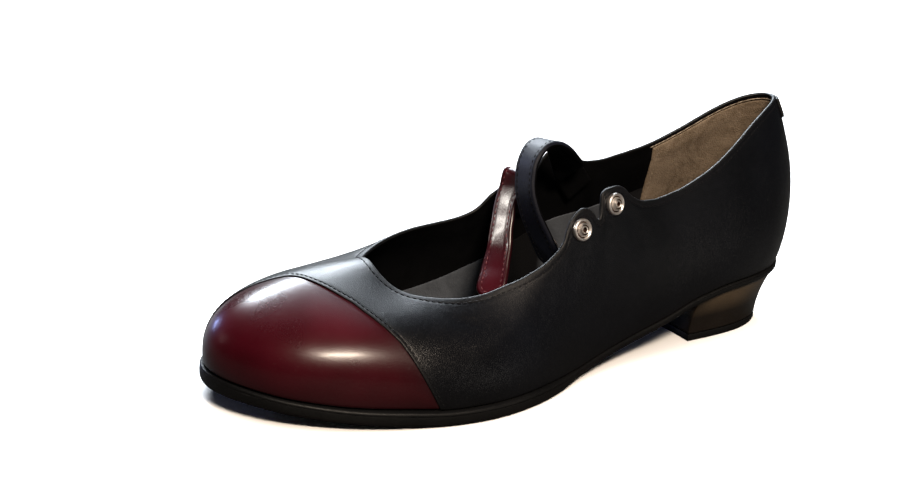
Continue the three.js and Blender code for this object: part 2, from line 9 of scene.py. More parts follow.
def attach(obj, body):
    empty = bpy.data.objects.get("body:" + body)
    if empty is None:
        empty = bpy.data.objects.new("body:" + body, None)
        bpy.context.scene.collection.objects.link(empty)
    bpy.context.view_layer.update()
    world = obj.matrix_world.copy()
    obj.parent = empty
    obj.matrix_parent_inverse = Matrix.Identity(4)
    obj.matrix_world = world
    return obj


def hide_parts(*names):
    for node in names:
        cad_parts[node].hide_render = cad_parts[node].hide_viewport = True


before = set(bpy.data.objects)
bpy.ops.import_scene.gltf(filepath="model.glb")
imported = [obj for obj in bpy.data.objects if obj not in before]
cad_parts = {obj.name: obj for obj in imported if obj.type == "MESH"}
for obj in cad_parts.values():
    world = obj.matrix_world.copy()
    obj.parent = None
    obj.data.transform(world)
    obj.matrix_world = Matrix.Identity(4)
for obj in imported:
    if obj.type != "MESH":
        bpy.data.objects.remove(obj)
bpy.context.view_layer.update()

millimetre = 0.001

# Round figures that turn shares of the side into millimetres of leather
roundShoe = 620       # one turn
sideHigh = 62         # feather line to mouth, for the folds
collarHigh = 60       # the same, near the topline

# The last that the leather is pulled over
last = dict(
    length=252,       # feather line, heel to toe
    ball=86,          # feather line, across the ball
    mouth=63,         # back of the collar above the seat
    heel=20.2,        # seat above the floor
    spring=6.6,       # toe tip above the floor
    back=35,          # back of the feather line behind the origin
    wall=2.6,         # leather with its lining
    gap=0.3,          # between pieces that meet
    waistSole=2.8,
    foreSole=5.2,
)

# Shares of the last's length, ball and mouth: feather line, mouth line, height, and the side between.
lastRows = [
    # along, side, mouthAlong, mouthSide, mouthHigh, flare, rise, reach, slope in degrees
    [1.000, -0.065, 0.770, -0.006, 0.622, 0.058, 0.368, 0.510, 5],
    [0.986, 0.100, 0.771, 0.078, 0.580, 0.056, 0.352, 0.470, 7],
    [0.943, 0.258, 0.760, 0.156, 0.528, 0.052, 0.320, 0.405, 11],
    [0.870, 0.388, 0.735, 0.224, 0.507, 0.050, 0.280, 0.336, 18],
    [0.778, 0.482, 0.694, 0.282, 0.500, 0.046, 0.232, 0.278, 30],
    [0.677, 0.524, 0.636, 0.312, 0.532, 0.033, 0.200, 0.260, 44],
    [0.576, 0.472, 0.571, 0.312, 0.664, 0.020, 0.208, 0.286, 61],
    [0.483, 0.386, 0.496, 0.289, 0.872, 0.012, 0.246, 0.320, 73],
    [0.391, 0.334, 0.412, 0.260, 0.924, 0.018, 0.253, 0.322, 76],
    [0.289, 0.318, 0.316, 0.238, 0.730, 0.040, 0.234, 0.284, 76],
    [0.187, 0.303, 0.206, 0.205, 0.730, 0.062, 0.250, 0.300, 73],
    [0.095, 0.257, 0.118, 0.143, 0.892, 0.084, 0.280, 0.334, 68],
    [0.028, 0.152, 0.056, 0.080, 0.995, 0.092, 0.312, 0.373, 63],
    [0.000, 0.000, 0.032, 0.000, 1.014, 0.091, 0.324, 0.376, 62],
    [0.028, -0.158, 0.056, -0.080, 0.990, 0.088, 0.312, 0.370, 64],
    [0.094, -0.266, 0.116, -0.143, 0.885, 0.079, 0.280, 0.330, 69],
    [0.185, -0.302, 0.200, -0.205, 0.730, 0.058, 0.250, 0.296, 75],
    [0.289, -0.298, 0.303, -0.234, 0.758, 0.038, 0.232, 0.278, 77],
    [0.392, -0.290, 0.385, -0.246, 0.918, 0.020, 0.256, 0.320, 74],
    [0.496, -0.322, 0.466, -0.260, 0.826, 0.020, 0.258, 0.320, 70],
    [0.599, -0.390, 0.545, -0.284, 0.680, 0.022, 0.224, 0.296, 59],
    [0.718, -0.450, 0.622, -0.297, 0.622, 0.040, 0.224, 0.276, 44],
    [0.820, -0.450, 0.683, -0.274, 0.582, 0.056, 0.262, 0.304, 30],
    [0.902, -0.398, 0.723, -0.218, 0.558, 0.060, 0.316, 0.364, 17],
    [0.956, -0.312, 0.746, -0.154, 0.568, 0.060, 0.352, 0.430, 10],
    [0.988, -0.200, 0.761, -0.086, 0.603, 0.060, 0.366, 0.488, 6],
]

# Underside of the sole: along, lift of the heel, spring of the toe, thickness share, edge share
bedRows = [
    [-0.030, 1.000, 0.00, 0.00, 0.00], [0.090, 1.000, 0.00, 0.00, 0.00],
    [0.165, 0.980, 0.00, 0.00, 0.00], [0.235, 0.865, 0.00, 0.00, 0.00],
    [0.315, 0.575, 0.00, 0.00, 0.00], [0.395, 0.350, 0.00, 0.00, 0.00],
    [0.480, 0.145, 0.00, 0.10, 0.10], [0.550, 0.020, 0.00, 0.80, 0.80],
    [0.600, 0.000, 0.00, 1.00, 1.00], [0.740, 0.000, 0.00, 1.00, 1.00],
    [0.805, 0.000, 0.15, 1.00, 0.90], [0.870, 0.000, 0.36, 0.90, 0.65],
    [0.945, 0.000, 0.72, 0.80, 0.20], [1.010, 0.000, 1.00, 0.85, 0.00],
]

# Topline: turn round the shoe (0 toe, 0.25 outer side, 0.5 heel) and share of the side's height
toplineRows = [
    [0.0000, 1.000], [0.1920, 0.995], [0.2220, 0.950], [0.2405, 0.914], [0.2495, 0.908],
    [0.2555, 0.920], [0.2600, 0.965], [0.2650, 0.995], [0.2720, 1.000], [0.2790, 0.965],
    [0.2840, 0.910], [0.2870, 0.858], [0.2895, 0.885], [0.2918, 0.985], [0.2970, 1.000],
    [0.3080, 1.000], [0.3135, 0.985], [0.3185, 0.952], [0.3260, 0.938], [0.3380, 0.965],
    [0.3540, 1.000], [0.6400, 1.000], [0.6560, 0.978], [0.6680, 0.955], [0.6760, 0.968],
    [0.6810, 0.995], [0.6840, 1.000], [0.7000, 1.000], [0.7040, 0.965], [0.7080, 0.860],
    [0.7130, 0.820], [0.7180, 0.860], [0.7220, 0.965], [0.7255, 1.000], [0.7450, 1.000],
    [0.7490, 0.980], [0.7530, 0.952], [0.7580, 0.942], [0.7660, 0.948], [0.7860, 0.972],
    [0.8120, 0.993], [0.8300, 1.000], [1.0000, 1.000],
]

# Seam of the toe cap, running down to the feather line at both ends
capRows = [
    [-0.0605, 0.000], [-0.0580, 0.260], [-0.0530, 0.350], [-0.0440, 0.465], [-0.0310, 0.590],
    [-0.0145, 0.690], [0.0120, 0.738], [0.0330, 0.762], [0.0520, 0.768], [0.0700, 0.745],
    [0.0860, 0.704], [0.1125, 0.585], [0.1270, 0.475], [0.1380, 0.360], [0.1495, 0.200],
    [0.1580, 0.040], [0.1597, 0.000],
]


def closedSpline(values):
    # A periodic cubic through the rows of one column.
    values = np.array(values, float)
    count = len(values)
    system = np.zeros((count, count))
    for i in range(count):
        system[i, i] = 4
        system[i, (i + 1) % count] = 1
        system[i, i - 1] = 1
    bend = np.linalg.solve(system, 6 * (np.roll(values, -1) - 2 * values + np.roll(values, 1)))

    def at(turn):
        place = (np.asarray(turn, float) % 1) * count
        i = np.minimum(place.astype(int), count - 1)
        j = (i + 1) % count
        b = place - i
        a = 1 - b
        return a * values[i] + b * values[j] + ((a**3 - a) * bend[i] + (b**3 - b) * bend[j]) / 6

    return at


def monotone(rows, column=1):
    x = np.array([row[0] for row in rows], float)
    y = np.array([row[column] for row in rows], float)
    slope = np.diff(y) / np.diff(x)
    tangent = np.zeros(len(x))
    for i in range(1, len(x) - 1):
        if slope[i - 1] * slope[i] > 0:
            before = x[i] - x[i - 1]
            after = x[i + 1] - x[i]
            weights = (2 * after + before) / slope[i - 1] + (after + 2 * before) / slope[i]
            tangent[i] = 3 * (before + after) / weights

    def at(place):
        p = np.clip(place, x[0], x[-1])
        i = np.clip(np.searchsorted(x, p) - 1, 0, len(x) - 2)
        h = x[i + 1] - x[i]
        t = (p - x[i]) / h
        ends = y[i] * (1 + 2 * t) * (1 - t) ** 2 + y[i + 1] * t * t * (3 - 2 * t)
        return ends + h * tangent[i] * t * (1 - t) ** 2 - h * tangent[i + 1] * t * t * (1 - t)

    return at


def smooth(value):
    value = np.clip(value, 0, 1)
    return value * value * (3 - 2 * value)


def unit(vectors):
    return vectors / np.maximum(np.linalg.norm(vectors, axis=-1, keepdims=True), 1e-12)


lastLines = [closedSpline([row[i] for row in lastRows]) for i in range(9)]
liftAt = monotone(bedRows, 1)
springAt = monotone(bedRows, 2)
thickAt = monotone(bedRows, 3)
edgeAt = monotone(bedRows, 4)
toplineLine = monotone(toplineRows)
capLine = monotone(capRows)


def toplineAt(turn):
    return toplineLine(np.asarray(turn, float) % 1)


def seamFloorAt(turn):
    return capLine((np.asarray(turn, float) + 0.5) % 1 - 0.5)


def alongOf(x):
    return (x + last["back"]) / last["length"]


def undersideAt(x):
    return last["heel"] * liftAt(alongOf(x)) + last["spring"] * springAt(alongOf(x))


def soleTopAt(x):
    return undersideAt(x) + last["waistSole"] + (last["foreSole"] - last["waistSole"]) * thickAt(alongOf(x))


def bedAt(x):
    return soleTopAt(x) + last["gap"]


def sidePoint(turn, up):
    # Outer face of the leather, from the feather line (up 0) to the mouth (up 1).
    turn, up = np.broadcast_arrays(np.asarray(turn, float), np.asarray(up, float))
    along, side, mouthAlong, mouthSide, high, flare, rise, reach, slope = [line(turn) for line in lastLines]
    step = 1e-4

    def outward(a, b):
        runX = (lastLines[a](turn + step) - lastLines[a](turn - step)) * last["length"]
        runY = (lastLines[b](turn + step) - lastLines[b](turn - step)) * last["ball"]
        size = np.hypot(runX, runY)
        return runY / size, -runX / size

    footX = along * last["length"] - last["back"]
    footY = side * last["ball"]
    mouthX = mouthAlong * last["length"] - last["back"]
    mouthY = mouthSide * last["ball"]
    foot = np.stack([footX, footY, bedAt(footX)], -1)
    mouth = np.stack([mouthX, mouthY, bedAt(mouthX) + high * last["mouth"]], -1)
    outX, outY = outward(0, 1)
    swell = flare * last["mouth"]
    lower = foot + np.stack([outX * swell, outY * swell, rise * last["mouth"]], -1)
    outX, outY = outward(2, 3)
    pull = reach * last["mouth"]
    level = pull * np.cos(np.radians(slope))
    upper = mouth + np.stack([outX * level, outY * level, -pull * np.sin(np.radians(slope))], -1)
    u = up[..., None]
    w = 1 - u
    return w**3 * foot + 3 * w * w * u * lower + 3 * w * u * u * upper + u**3 * mouth


def sideNormal(turn, up):
    step = 1e-3
    around = sidePoint(turn + step, up) - sidePoint(turn - step, up)
    rise = sidePoint(turn, up + step) - sidePoint(turn, up - step)
    return unit(np.cross(around, rise))


def wallPoint(turn, up, depth):
    turn, up, depth = np.broadcast_arrays(turn, up, depth)
    return sidePoint(turn, up) - sideNormal(turn, up) * depth[..., None]


def sideLengthAt(turn):
    steps = np.linspace(0, 1, 13)
    line = sidePoint(np.asarray(turn)[..., None], steps)
    return np.linalg.norm(np.diff(line, axis=-2), axis=-1).sum(-1)


def surfaceShift(turn, up, direction, distance):
    # Turn and up of the point that lies a distance along the surface from another.
    step = 1e-4
    around = (sidePoint(turn + step, up) - sidePoint(turn - step, up)) / (2 * step)
    rise = (sidePoint(turn, up + step) - sidePoint(turn, up - step)) / (2 * step)
    g11 = (around * around).sum(-1)
    g12 = (around * rise).sum(-1)
    g22 = (rise * rise).sum(-1)
    r1 = (direction * around).sum(-1)
    r2 = (direction * rise).sum(-1)
    flat = g11 * g22 - g12 * g12
    a = (r1 * g22 - r2 * g12) / flat
    b = (r2 * g11 - r1 * g12) / flat
    return turn + distance * a, up + distance * b


def lineOffset(turn, lineAt, distance, inwards=-1):
    # A line on the surface moved down (inwards -1) or up (1) across itself.
    step = 1e-4
    up = lineAt(turn)
    run = unit(sidePoint(turn + step, lineAt(turn + step)) - sidePoint(turn - step, lineAt(turn - step)))
    across = np.cross(sideNormal(turn, up), run)
    return surfaceShift(turn, up, across * inwards, distance)


# Meshes

def gridFaces(columns, rows, closeColumns=True, closeRows=True):
    i = np.arange(columns if closeColumns else columns - 1)
    k = np.arange(rows if closeRows else rows - 1)
    a, b = np.meshgrid(i, k, indexing="ij")
    c = (a + 1) % columns
    d = (b + 1) % rows
    return np.stack([a * rows + b, c * rows + b, c * rows + d, a * rows + d], -1).reshape(-1, 4)


def meshFrom(name, points, faces, values=None):
    mesh = bpy.data.meshes.new(name)
    places = (np.asarray(points).reshape(-1, 3) * millimetre).tolist()
    mesh.from_pydata(places, [], [list(face) for face in faces])
    for key, value in (values or {}).items():
        layer = mesh.attributes.new(key, "FLOAT", "POINT")
        layer.data.foreach_set("value", np.asarray(value, np.float32).reshape(-1))
    mesh.update()
    return mesh


def closeMesh(mesh):
    # Joins doubled points, fills open ends, drops loose points and turns the faces outwards.
    joinWithin = 2e-6
    work = bmesh.new()
    work.from_mesh(mesh)
    bmesh.ops.remove_doubles(work, verts=work.verts, dist=joinWithin)
    rims = [edge for edge in work.edges if edge.is_boundary]
    if rims:
        bmesh.ops.holes_fill(work, edges=rims, sides=0)
    bmesh.ops.delete(work, geom=[point for point in work.verts if not point.link_faces], context="VERTS")
    bmesh.ops.recalc_face_normals(work, faces=work.faces)
    work.to_mesh(mesh)
    work.free()
    mesh.update()
    return mesh


def newObject(name, data):
    made = bpy.data.objects.new(name, data)
    bpy.context.scene.collection.objects.link(made)
    return made


def plainCopy(source, name):
    # The object's mesh with its modifiers applied. The object itself is removed.
    bpy.context.view_layer.update()
    depsgraph = bpy.context.evaluated_depsgraph_get()
    mesh = bpy.data.meshes.new_from_object(source.evaluated_get(depsgraph))
    bpy.data.objects.remove(source)
    mesh.name = name
    return mesh


def addPiece(mesh, materials, replaces=(), sharp=None):
    for material in materials if isinstance(materials, (list, tuple)) else [materials]:
        mesh.materials.append(material)
    mesh.shade_smooth()
    if sharp:
        mesh.set_sharp_from_angle(angle=math.radians(sharp))
    piece = newObject(mesh.name, mesh)
    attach(piece, "root")
    if replaces:
        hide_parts(*replaces)


def denseShares(length, soft, step):
    # Shares along a length, close together within a soft border at both ends.
    border = np.array([0, 0.05, 0.16, 0.32, 0.52, 0.76, 1.0]) * soft / length
    middle = np.linspace(border[-1], 1 - border[-1], max(3, int(length / step)))
    return np.concatenate([border[:-1], middle, (1 - border[:-1])[::-1]])


def leatherPatch(name, start, end, lowAt, highAt, face, back, soft=0.8, step=1.2, shadowAt=None):
    # A panel on the wall whose four borders round off to nothing. face and back are depths.
    borderReach = 5       # millimetres over which the colour changes near a border
    middle = (start + end) / 2
    lowSide = sidePoint(np.linspace(start, end, 60), 0.4)
    wide = np.linalg.norm(np.diff(lowSide, axis=0), axis=1).sum()
    tall = float(sideLengthAt(np.array([middle]))[0] * (highAt(middle) - lowAt(middle)))
    turns = (start + (end - start) * denseShares(wide, soft, step))[:, None]
    shares = denseShares(max(tall, 4 * soft), soft, step)[None, :]
    low = lowAt(turns)
    ups = low + (highAt(turns) - low) * shares
    turns = np.broadcast_to(turns, ups.shape)
    base = sidePoint(turns, ups)

    def toBorder(axis):
        steps = np.linalg.norm(np.diff(base, axis=axis), axis=-1)
        zero = np.zeros_like(np.take(steps, [0], axis=axis))
        gone = np.concatenate([zero, np.cumsum(steps, axis=axis)], axis=axis)
        return np.minimum(gone, np.take(gone, [-1], axis=axis) - gone)

    border = np.minimum(toBorder(0), toBorder(1))
    fall = 1 - np.clip(border / soft, 0, 1)
    full = np.sqrt(1 - fall * fall)
    face = face(turns, ups) if callable(face) else face
    back = back(turns, ups) if callable(back) else back
    outer = wallPoint(turns, ups, back + (face - back) * full)
    inner = wallPoint(turns, ups, np.broadcast_to(back, ups.shape))
    columns, rows = ups.shape
    sheet = columns * rows
    faces = gridFaces(columns, rows, False, False)
    faces = np.concatenate([faces, faces[:, ::-1] + sheet])
    # A corner's own point is left out, so that both sheets meet along one edge there
    corners = {0, rows - 1, sheet - rows, sheet - 1}
    faces = [[point for point in face if point % sheet not in corners] for face in faces.tolist()]
    near = np.exp(-border / borderReach).ravel()
    points = np.concatenate([outer.reshape(-1, 3), inner.reshape(-1, 3)])
    values = {"edgeNear": np.tile(near, 2)}
    # Painted shadow: a share for each point, which the lining's shader reads to darken it
    if shadowAt:
        values["paintedShadow"] = np.tile(shadowAt(turns).ravel(), 2)
    return closeMesh(meshFrom(name, points, faces, values))


def levelAt(up):
    return lambda turn: up + 0 * turn


def latheMesh(name, profile, sides, place, axis):
    # A turned piece. profile lists radius and height, place is the foot and axis its direction.
    axis = Vector(axis).normalized()
    turnTo = Vector((0, 0, 1)).rotation_difference(axis).to_matrix()
    points = []
    for i in range(sides):
        angle = 2 * math.pi * i / sides
        for radius, height in profile:
            spot = turnTo @ Vector((radius * math.cos(angle), radius * math.sin(angle), height))
            points.append([spot[0] + place[0], spot[1] + place[1], spot[2] + place[2]])
    faces = gridFaces(sides, len(profile), True, False)
    return closeMesh(meshFrom(name, points, faces))


# Shader groups that several finishes share

def newGroup(name, inputs, outputs, kind="ShaderNodeTree"):
    tree = bpy.data.node_groups.new(name, kind)
    for label, sort, value in inputs:
        socket = tree.interface.new_socket(name=label, in_out="INPUT", socket_type=sort)
        if value is not None:
            socket.default_value = value
    for label, sort in outputs:
        tree.interface.new_socket(name=label, in_out="OUTPUT", socket_type=sort)
    return tree, tree.nodes.new("NodeGroupInput"), tree.nodes.new("NodeGroupOutput")


def addNode(tree, kind, values=None, **settings):
    node = tree.nodes.new(kind)
    for key, value in settings.items():
        setattr(node, key, value)
    for key, value in (values or {}).items():
        node.inputs[key].default_value = value
    return node


def mathNode(tree, operation, first, second=None, clamp=False):
    node = tree.nodes.new("ShaderNodeMath")
    node.operation = operation
    node.use_clamp = clamp
    for i, value in enumerate([first, second]):
        if value is None:
            continue
        if isinstance(value, (int, float)):
            node.inputs[i].default_value = value
        else:
            tree.links.new(value, node.inputs[i])
    return node.outputs[0]


def objectCoords(tree):
    return addNode(tree, "ShaderNodeTexCoord").outputs["Object"]


def addTexture(tree, coords, kind, values, **settings):
    node = addNode(tree, "ShaderNodeTex" + kind, values, **settings)
    tree.links.new(coords, node.inputs["Vector"])
    return node


def rangeNode(tree, value, low, high, newLow=0.0, newHigh=1.0):
    node = addNode(tree, "ShaderNodeMapRange", {1: low, 2: high, 3: newLow, 4: newHigh})
    tree.links.new(value, node.inputs[0])
    return node.outputs[0]


def makeGrainGroup():
    # Fine pebble, pores and slow wrinkles of a smooth calf skin.
    tree, ins, outs = newGroup("calfGrain", [
        ("Vector", "NodeSocketVector", None),
        ("Pebble Scale", "NodeSocketFloat", 1900.0),
        ("Wrinkle Scale", "NodeSocketFloat", 120.0),
        ("Wrinkle Depth", "NodeSocketFloat", 0.6),
    ], [("Height", "NodeSocketFloat"), ("Mottle", "NodeSocketFloat"), ("Pores", "NodeSocketFloat")])
    links = tree.links
    coords = ins.outputs["Vector"]
    pebble = addTexture(tree, coords, "Voronoi", {}, feature="DISTANCE_TO_EDGE")
    wrinkle = addTexture(tree, coords, "Noise", {"Detail": 4.0, "Roughness": 0.55})
    mottle = addTexture(tree, coords, "Noise", {"Scale": 28.0, "Detail": 3.0})
    pores = addTexture(tree, coords, "Noise", {"Detail": 1.0})
    links.new(ins.outputs["Pebble Scale"], pebble.inputs["Scale"])
    links.new(ins.outputs["Wrinkle Scale"], wrinkle.inputs["Scale"])
    links.new(mathNode(tree, "MULTIPLY", ins.outputs["Pebble Scale"], 0.6), pores.inputs["Scale"])
    cells = rangeNode(tree, pebble.outputs["Distance"], 0.0, 0.25)
    fold = mathNode(tree, "MULTIPLY", wrinkle.outputs[0], ins.outputs["Wrinkle Depth"])
    height = mathNode(tree, "ADD", mathNode(tree, "MULTIPLY", cells, 0.35), fold)
    links.new(height, outs.inputs["Height"])
    links.new(mottle.outputs[0], outs.inputs["Mottle"])
    links.new(rangeNode(tree, pores.outputs[0], 0.62, 0.75), outs.inputs["Pores"])
    return tree


def makeScuffGroup():
    # Thin rub marks and dull spots, as a mask.
    tree, ins, outs = newGroup("rubMarks", [
        ("Vector", "NodeSocketVector", None),
        ("Scale", "NodeSocketFloat", 90.0),
        ("Amount", "NodeSocketFloat", 0.5),
    ], [("Mask", "NodeSocketFloat")])
    links = tree.links
    stretch = addNode(tree, "ShaderNodeMapping", {"Scale": (1.0, 2.4, 5.0), "Rotation": (0.4, 0.2, 0.6)})
    links.new(ins.outputs["Vector"], stretch.inputs["Vector"])
    marks = addTexture(tree, stretch.outputs[0], "Noise", {"Detail": 6.0, "Roughness": 0.7})
    places = addTexture(tree, ins.outputs["Vector"], "Noise", {"Scale": 22.0, "Detail": 2.0})
    links.new(ins.outputs["Scale"], marks.inputs["Scale"])
    lines = rangeNode(tree, marks.outputs[0], 0.6, 0.72)
    mask = mathNode(tree, "MULTIPLY", lines, rangeNode(tree, places.outputs[0], 0.45, 0.7))
    links.new(mathNode(tree, "MULTIPLY", mask, ins.outputs["Amount"], clamp=True), outs.inputs["Mask"])
    return tree


grainGroup = makeGrainGroup()
scuffGroup = makeScuffGroup()


def socketLabel(key):
    # pebble_scale names the socket Pebble Scale.
    return " ".join(word.capitalize() for word in key.split("_")).replace("Ior", "IOR")


def newMaterial(name, **sockets):
    material = bpy.data.materials.new(name)
    material.use_nodes = True
    tree = material.node_tree
    shader = tree.nodes["Principled BSDF"]
    for key, value in sockets.items():
        shader.inputs[socketLabel(key)].default_value = value
    return material, tree, shader


def placeGroup(tree, group, coords, **values):
    node = tree.nodes.new("ShaderNodeGroup")
    node.node_tree = group
    tree.links.new(coords, node.inputs["Vector"])
    for key, value in values.items():
        node.inputs[socketLabel(key)].default_value = value
    return node


def mixColours(tree, factor, first, second):
    node = tree.nodes.new("ShaderNodeMix")
    node.data_type = "RGBA"
    if isinstance(factor, float):
        node.inputs[0].default_value = factor
    else:
        tree.links.new(factor, node.inputs[0])
    for socket, value in ((node.inputs[6], first), (node.inputs[7], second)):
        if isinstance(value, tuple):
            socket.default_value = value + (1.0,)
        else:
            tree.links.new(value, socket)
    return node.outputs[2]


def addBump(tree, shader, height, distance, strength=1.0):
    bump = addNode(tree, "ShaderNodeBump", {"Distance": distance, "Strength": strength})
    tree.links.new(height, bump.inputs["Height"])
    tree.links.new(bump.outputs[0], shader.inputs["Normal"])


def makeCalf(name, look):
    # Smooth calf: the colour lifts with the mottle and darkens at the seams, and rub marks dull it.
    material, tree, shader = newMaterial(
        name, coat_weight=look["coat"], coat_roughness=look["coatRoughness"], ior=1.5,
        specular_ior_level=look["specular"])
    coords = objectCoords(tree)
    grain = placeGroup(tree, grainGroup, coords, pebble_scale=look["pebble"], wrinkle_scale=look["wrinkle"],
                       wrinkle_depth=look["wrinkleDepth"])
    scuff = placeGroup(tree, scuffGroup, coords, scale=90.0, amount=look["scuff"])
    near = addNode(tree, "ShaderNodeAttribute", attribute_name="edgeNear").outputs["Fac"]
    mottle = rangeNode(tree, grain.outputs["Mottle"], 0.3, 0.7)
    colour = mixColours(tree, mottle, look["dark"], look["light"])
    burnish = mathNode(tree, "MULTIPLY", near, look["burnish"], clamp=True)
    colour = mixColours(tree, burnish, colour, look["edge"])
    colour = mixColours(tree, scuff.outputs["Mask"], colour, look["rubbed"])
    if "high" in look:
        # Painted warm reflection: the heel's cover pales to brown towards the seat, where a warm low light
        # reflects off it
        split = addNode(tree, "ShaderNodeSeparateXYZ")
        tree.links.new(coords, split.inputs[0])
        pale = rangeNode(tree, split.outputs["Z"], look["highFrom"], look["highTo"])
        colour = mixColours(tree, mathNode(tree, "MULTIPLY", pale, mottle), colour, look["high"])
    tree.links.new(colour, shader.inputs["Base Color"])
    dullest = look["gloss"] + look["glossSpread"]
    rough = rangeNode(tree, grain.outputs["Mottle"], 0.3, 0.7, look["gloss"], dullest)
    scuffDull = 0.25
    poreDull = 0.08
    for mask, dull in ((scuff.outputs["Mask"], scuffDull), (grain.outputs["Pores"], poreDull),
                       (near, look["dullEdge"])):
        rough = mathNode(tree, "ADD", rough, mathNode(tree, "MULTIPLY", mask, dull))
    tree.links.new(rough, shader.inputs["Roughness"])
    addBump(tree, shader, grain.outputs["Height"], look["bump"])
    return material


blackCalf = makeCalf("blackCalf", dict(
    dark=(0.0009, 0.0011, 0.0018), light=(0.0021, 0.0025, 0.0041), edge=(0.001, 0.001, 0.0013),
    rubbed=(0.007, 0.0072, 0.009), burnish=0.5, gloss=0.3, glossSpread=0.08, coat=0.0, coatRoughness=0.3,
    pebble=1700.0, wrinkle=95.0, wrinkleDepth=0.8, scuff=0.14, bump=0.00008, specular=0.28,
    dullEdge=0.18))
wineCalf = makeCalf("wineCalf", dict(
    dark=(0.022, 0.0006, 0.0022), light=(0.042, 0.0013, 0.0048), edge=(0.007, 0.0003, 0.001),
    rubbed=(0.05, 0.006, 0.01), burnish=0.8, gloss=0.26, glossSpread=0.05, coat=0.2, coatRoughness=0.17,
    pebble=1800.0, wrinkle=70.0, wrinkleDepth=0.4, scuff=0.0, bump=0.00003, specular=0.28, dullEdge=0.1))
navyCalf = makeCalf("navyCalf", dict(
    dark=(0.0025, 0.0032, 0.0075), light=(0.0048, 0.006, 0.0135), edge=(0.0018, 0.0018, 0.003),
    rubbed=(0.014, 0.016, 0.024), burnish=0.3, gloss=0.44, glossSpread=0.1, coat=0.0, coatRoughness=0.2,
    pebble=1700.0, wrinkle=110.0, wrinkleDepth=0.9, scuff=0.2, bump=0.00008, specular=0.24, dullEdge=0.1))
# The heel cover's high colour is a painted warm reflection, growing towards the seat
heelCover = makeCalf("heelCover", dict(
    dark=(0.003, 0.002, 0.0013), light=(0.0085, 0.0056, 0.0036), edge=(0.002, 0.0013, 0.001),
    rubbed=(0.035, 0.025, 0.018), burnish=0.3, gloss=0.34, glossSpread=0.12, coat=0.0, coatRoughness=0.22,
    pebble=1500.0, wrinkle=140.0, wrinkleDepth=0.8, scuff=0.4, bump=0.00008, specular=0.4,
    dullEdge=0.0, high=(0.16, 0.115, 0.07), highFrom=0.0095, highTo=0.0215))


def makeSuede(name, look):
    # Brushed lining leather: short nap, cloudy colour, nearly no gloss.
    material, tree, shader = newMaterial(
        name, sheen_weight=look["sheen"], sheen_roughness=0.5, coat_weight=0.0, specular_ior_level=0.05)
    shader.inputs["Sheen Tint"].default_value = look["sheenTint"] + (1.0,)
    coords = objectCoords(tree)
    nap = addTexture(tree, coords, "Noise", {"Scale": look["nap"], "Detail": 3.0, "Roughness": 0.7})
    cloud = addTexture(tree, coords, "Noise",
                       {"Scale": 60.0, "Detail": 6.0, "Roughness": 0.7, "Distortion": 0.8})
    grain = placeGroup(tree, grainGroup, coords, pebble_scale=look["nap"], wrinkle_scale=150.0,
                       wrinkle_depth=0.7)
    colour = mixColours(tree, rangeNode(tree, cloud.outputs[0], 0.38, 0.6), look["dark"], look["light"])
    colour = mixColours(tree, rangeNode(tree, nap.outputs[0], 0.5, 0.85, 0.0, 0.35), colour, look["tips"])
    # Painted shadow: the shaded colour is mixed in by the point's shadow share, for the shade the bars cast
    # on the facing
    if "shaded" in look:
        paintedShadow = addNode(tree, "ShaderNodeAttribute", attribute_name="paintedShadow").outputs["Fac"]
        colour = mixColours(tree, paintedShadow, colour, look["shaded"])
    tree.links.new(colour, shader.inputs["Base Color"])
    tree.links.new(rangeNode(tree, cloud.outputs[0], 0.3, 0.7, look["rough"], look["rough"] + 0.12),
                   shader.inputs["Roughness"])
    height = mathNode(tree, "ADD", mathNode(tree, "MULTIPLY", nap.outputs[0], 0.6), grain.outputs["Height"])
    addBump(tree, shader, height, look["bump"])
    return material


liningBlack = makeSuede("liningBlack", dict(
    dark=(0.0006, 0.0006, 0.0007), light=(0.0012, 0.0012, 0.0014), tips=(0.002, 0.002, 0.0025),
    nap=1500.0, rough=0.62, sheen=0.0, sheenTint=(0.5, 0.5, 0.55), bump=0.00008))
liningTan = makeSuede("liningTan", dict(
    dark=(0.072, 0.05, 0.031), light=(0.19, 0.142, 0.098), tips=(0.3, 0.235, 0.17),
    nap=1100.0, rough=0.78, sheen=0.1, sheenTint=(1.0, 0.86, 0.7), bump=0.0004))
# The facing's shaded colour is painted shadow, for the shade of the bars
sockGrey = makeSuede("sockGrey", dict(
    dark=(0.031, 0.034, 0.039), light=(0.052, 0.057, 0.065), tips=(0.08, 0.084, 0.09),
    nap=1200.0, rough=0.72, sheen=0.05, sheenTint=(0.8, 0.8, 0.85), bump=0.0001,
    shaded=(0.002, 0.002, 0.0022)))


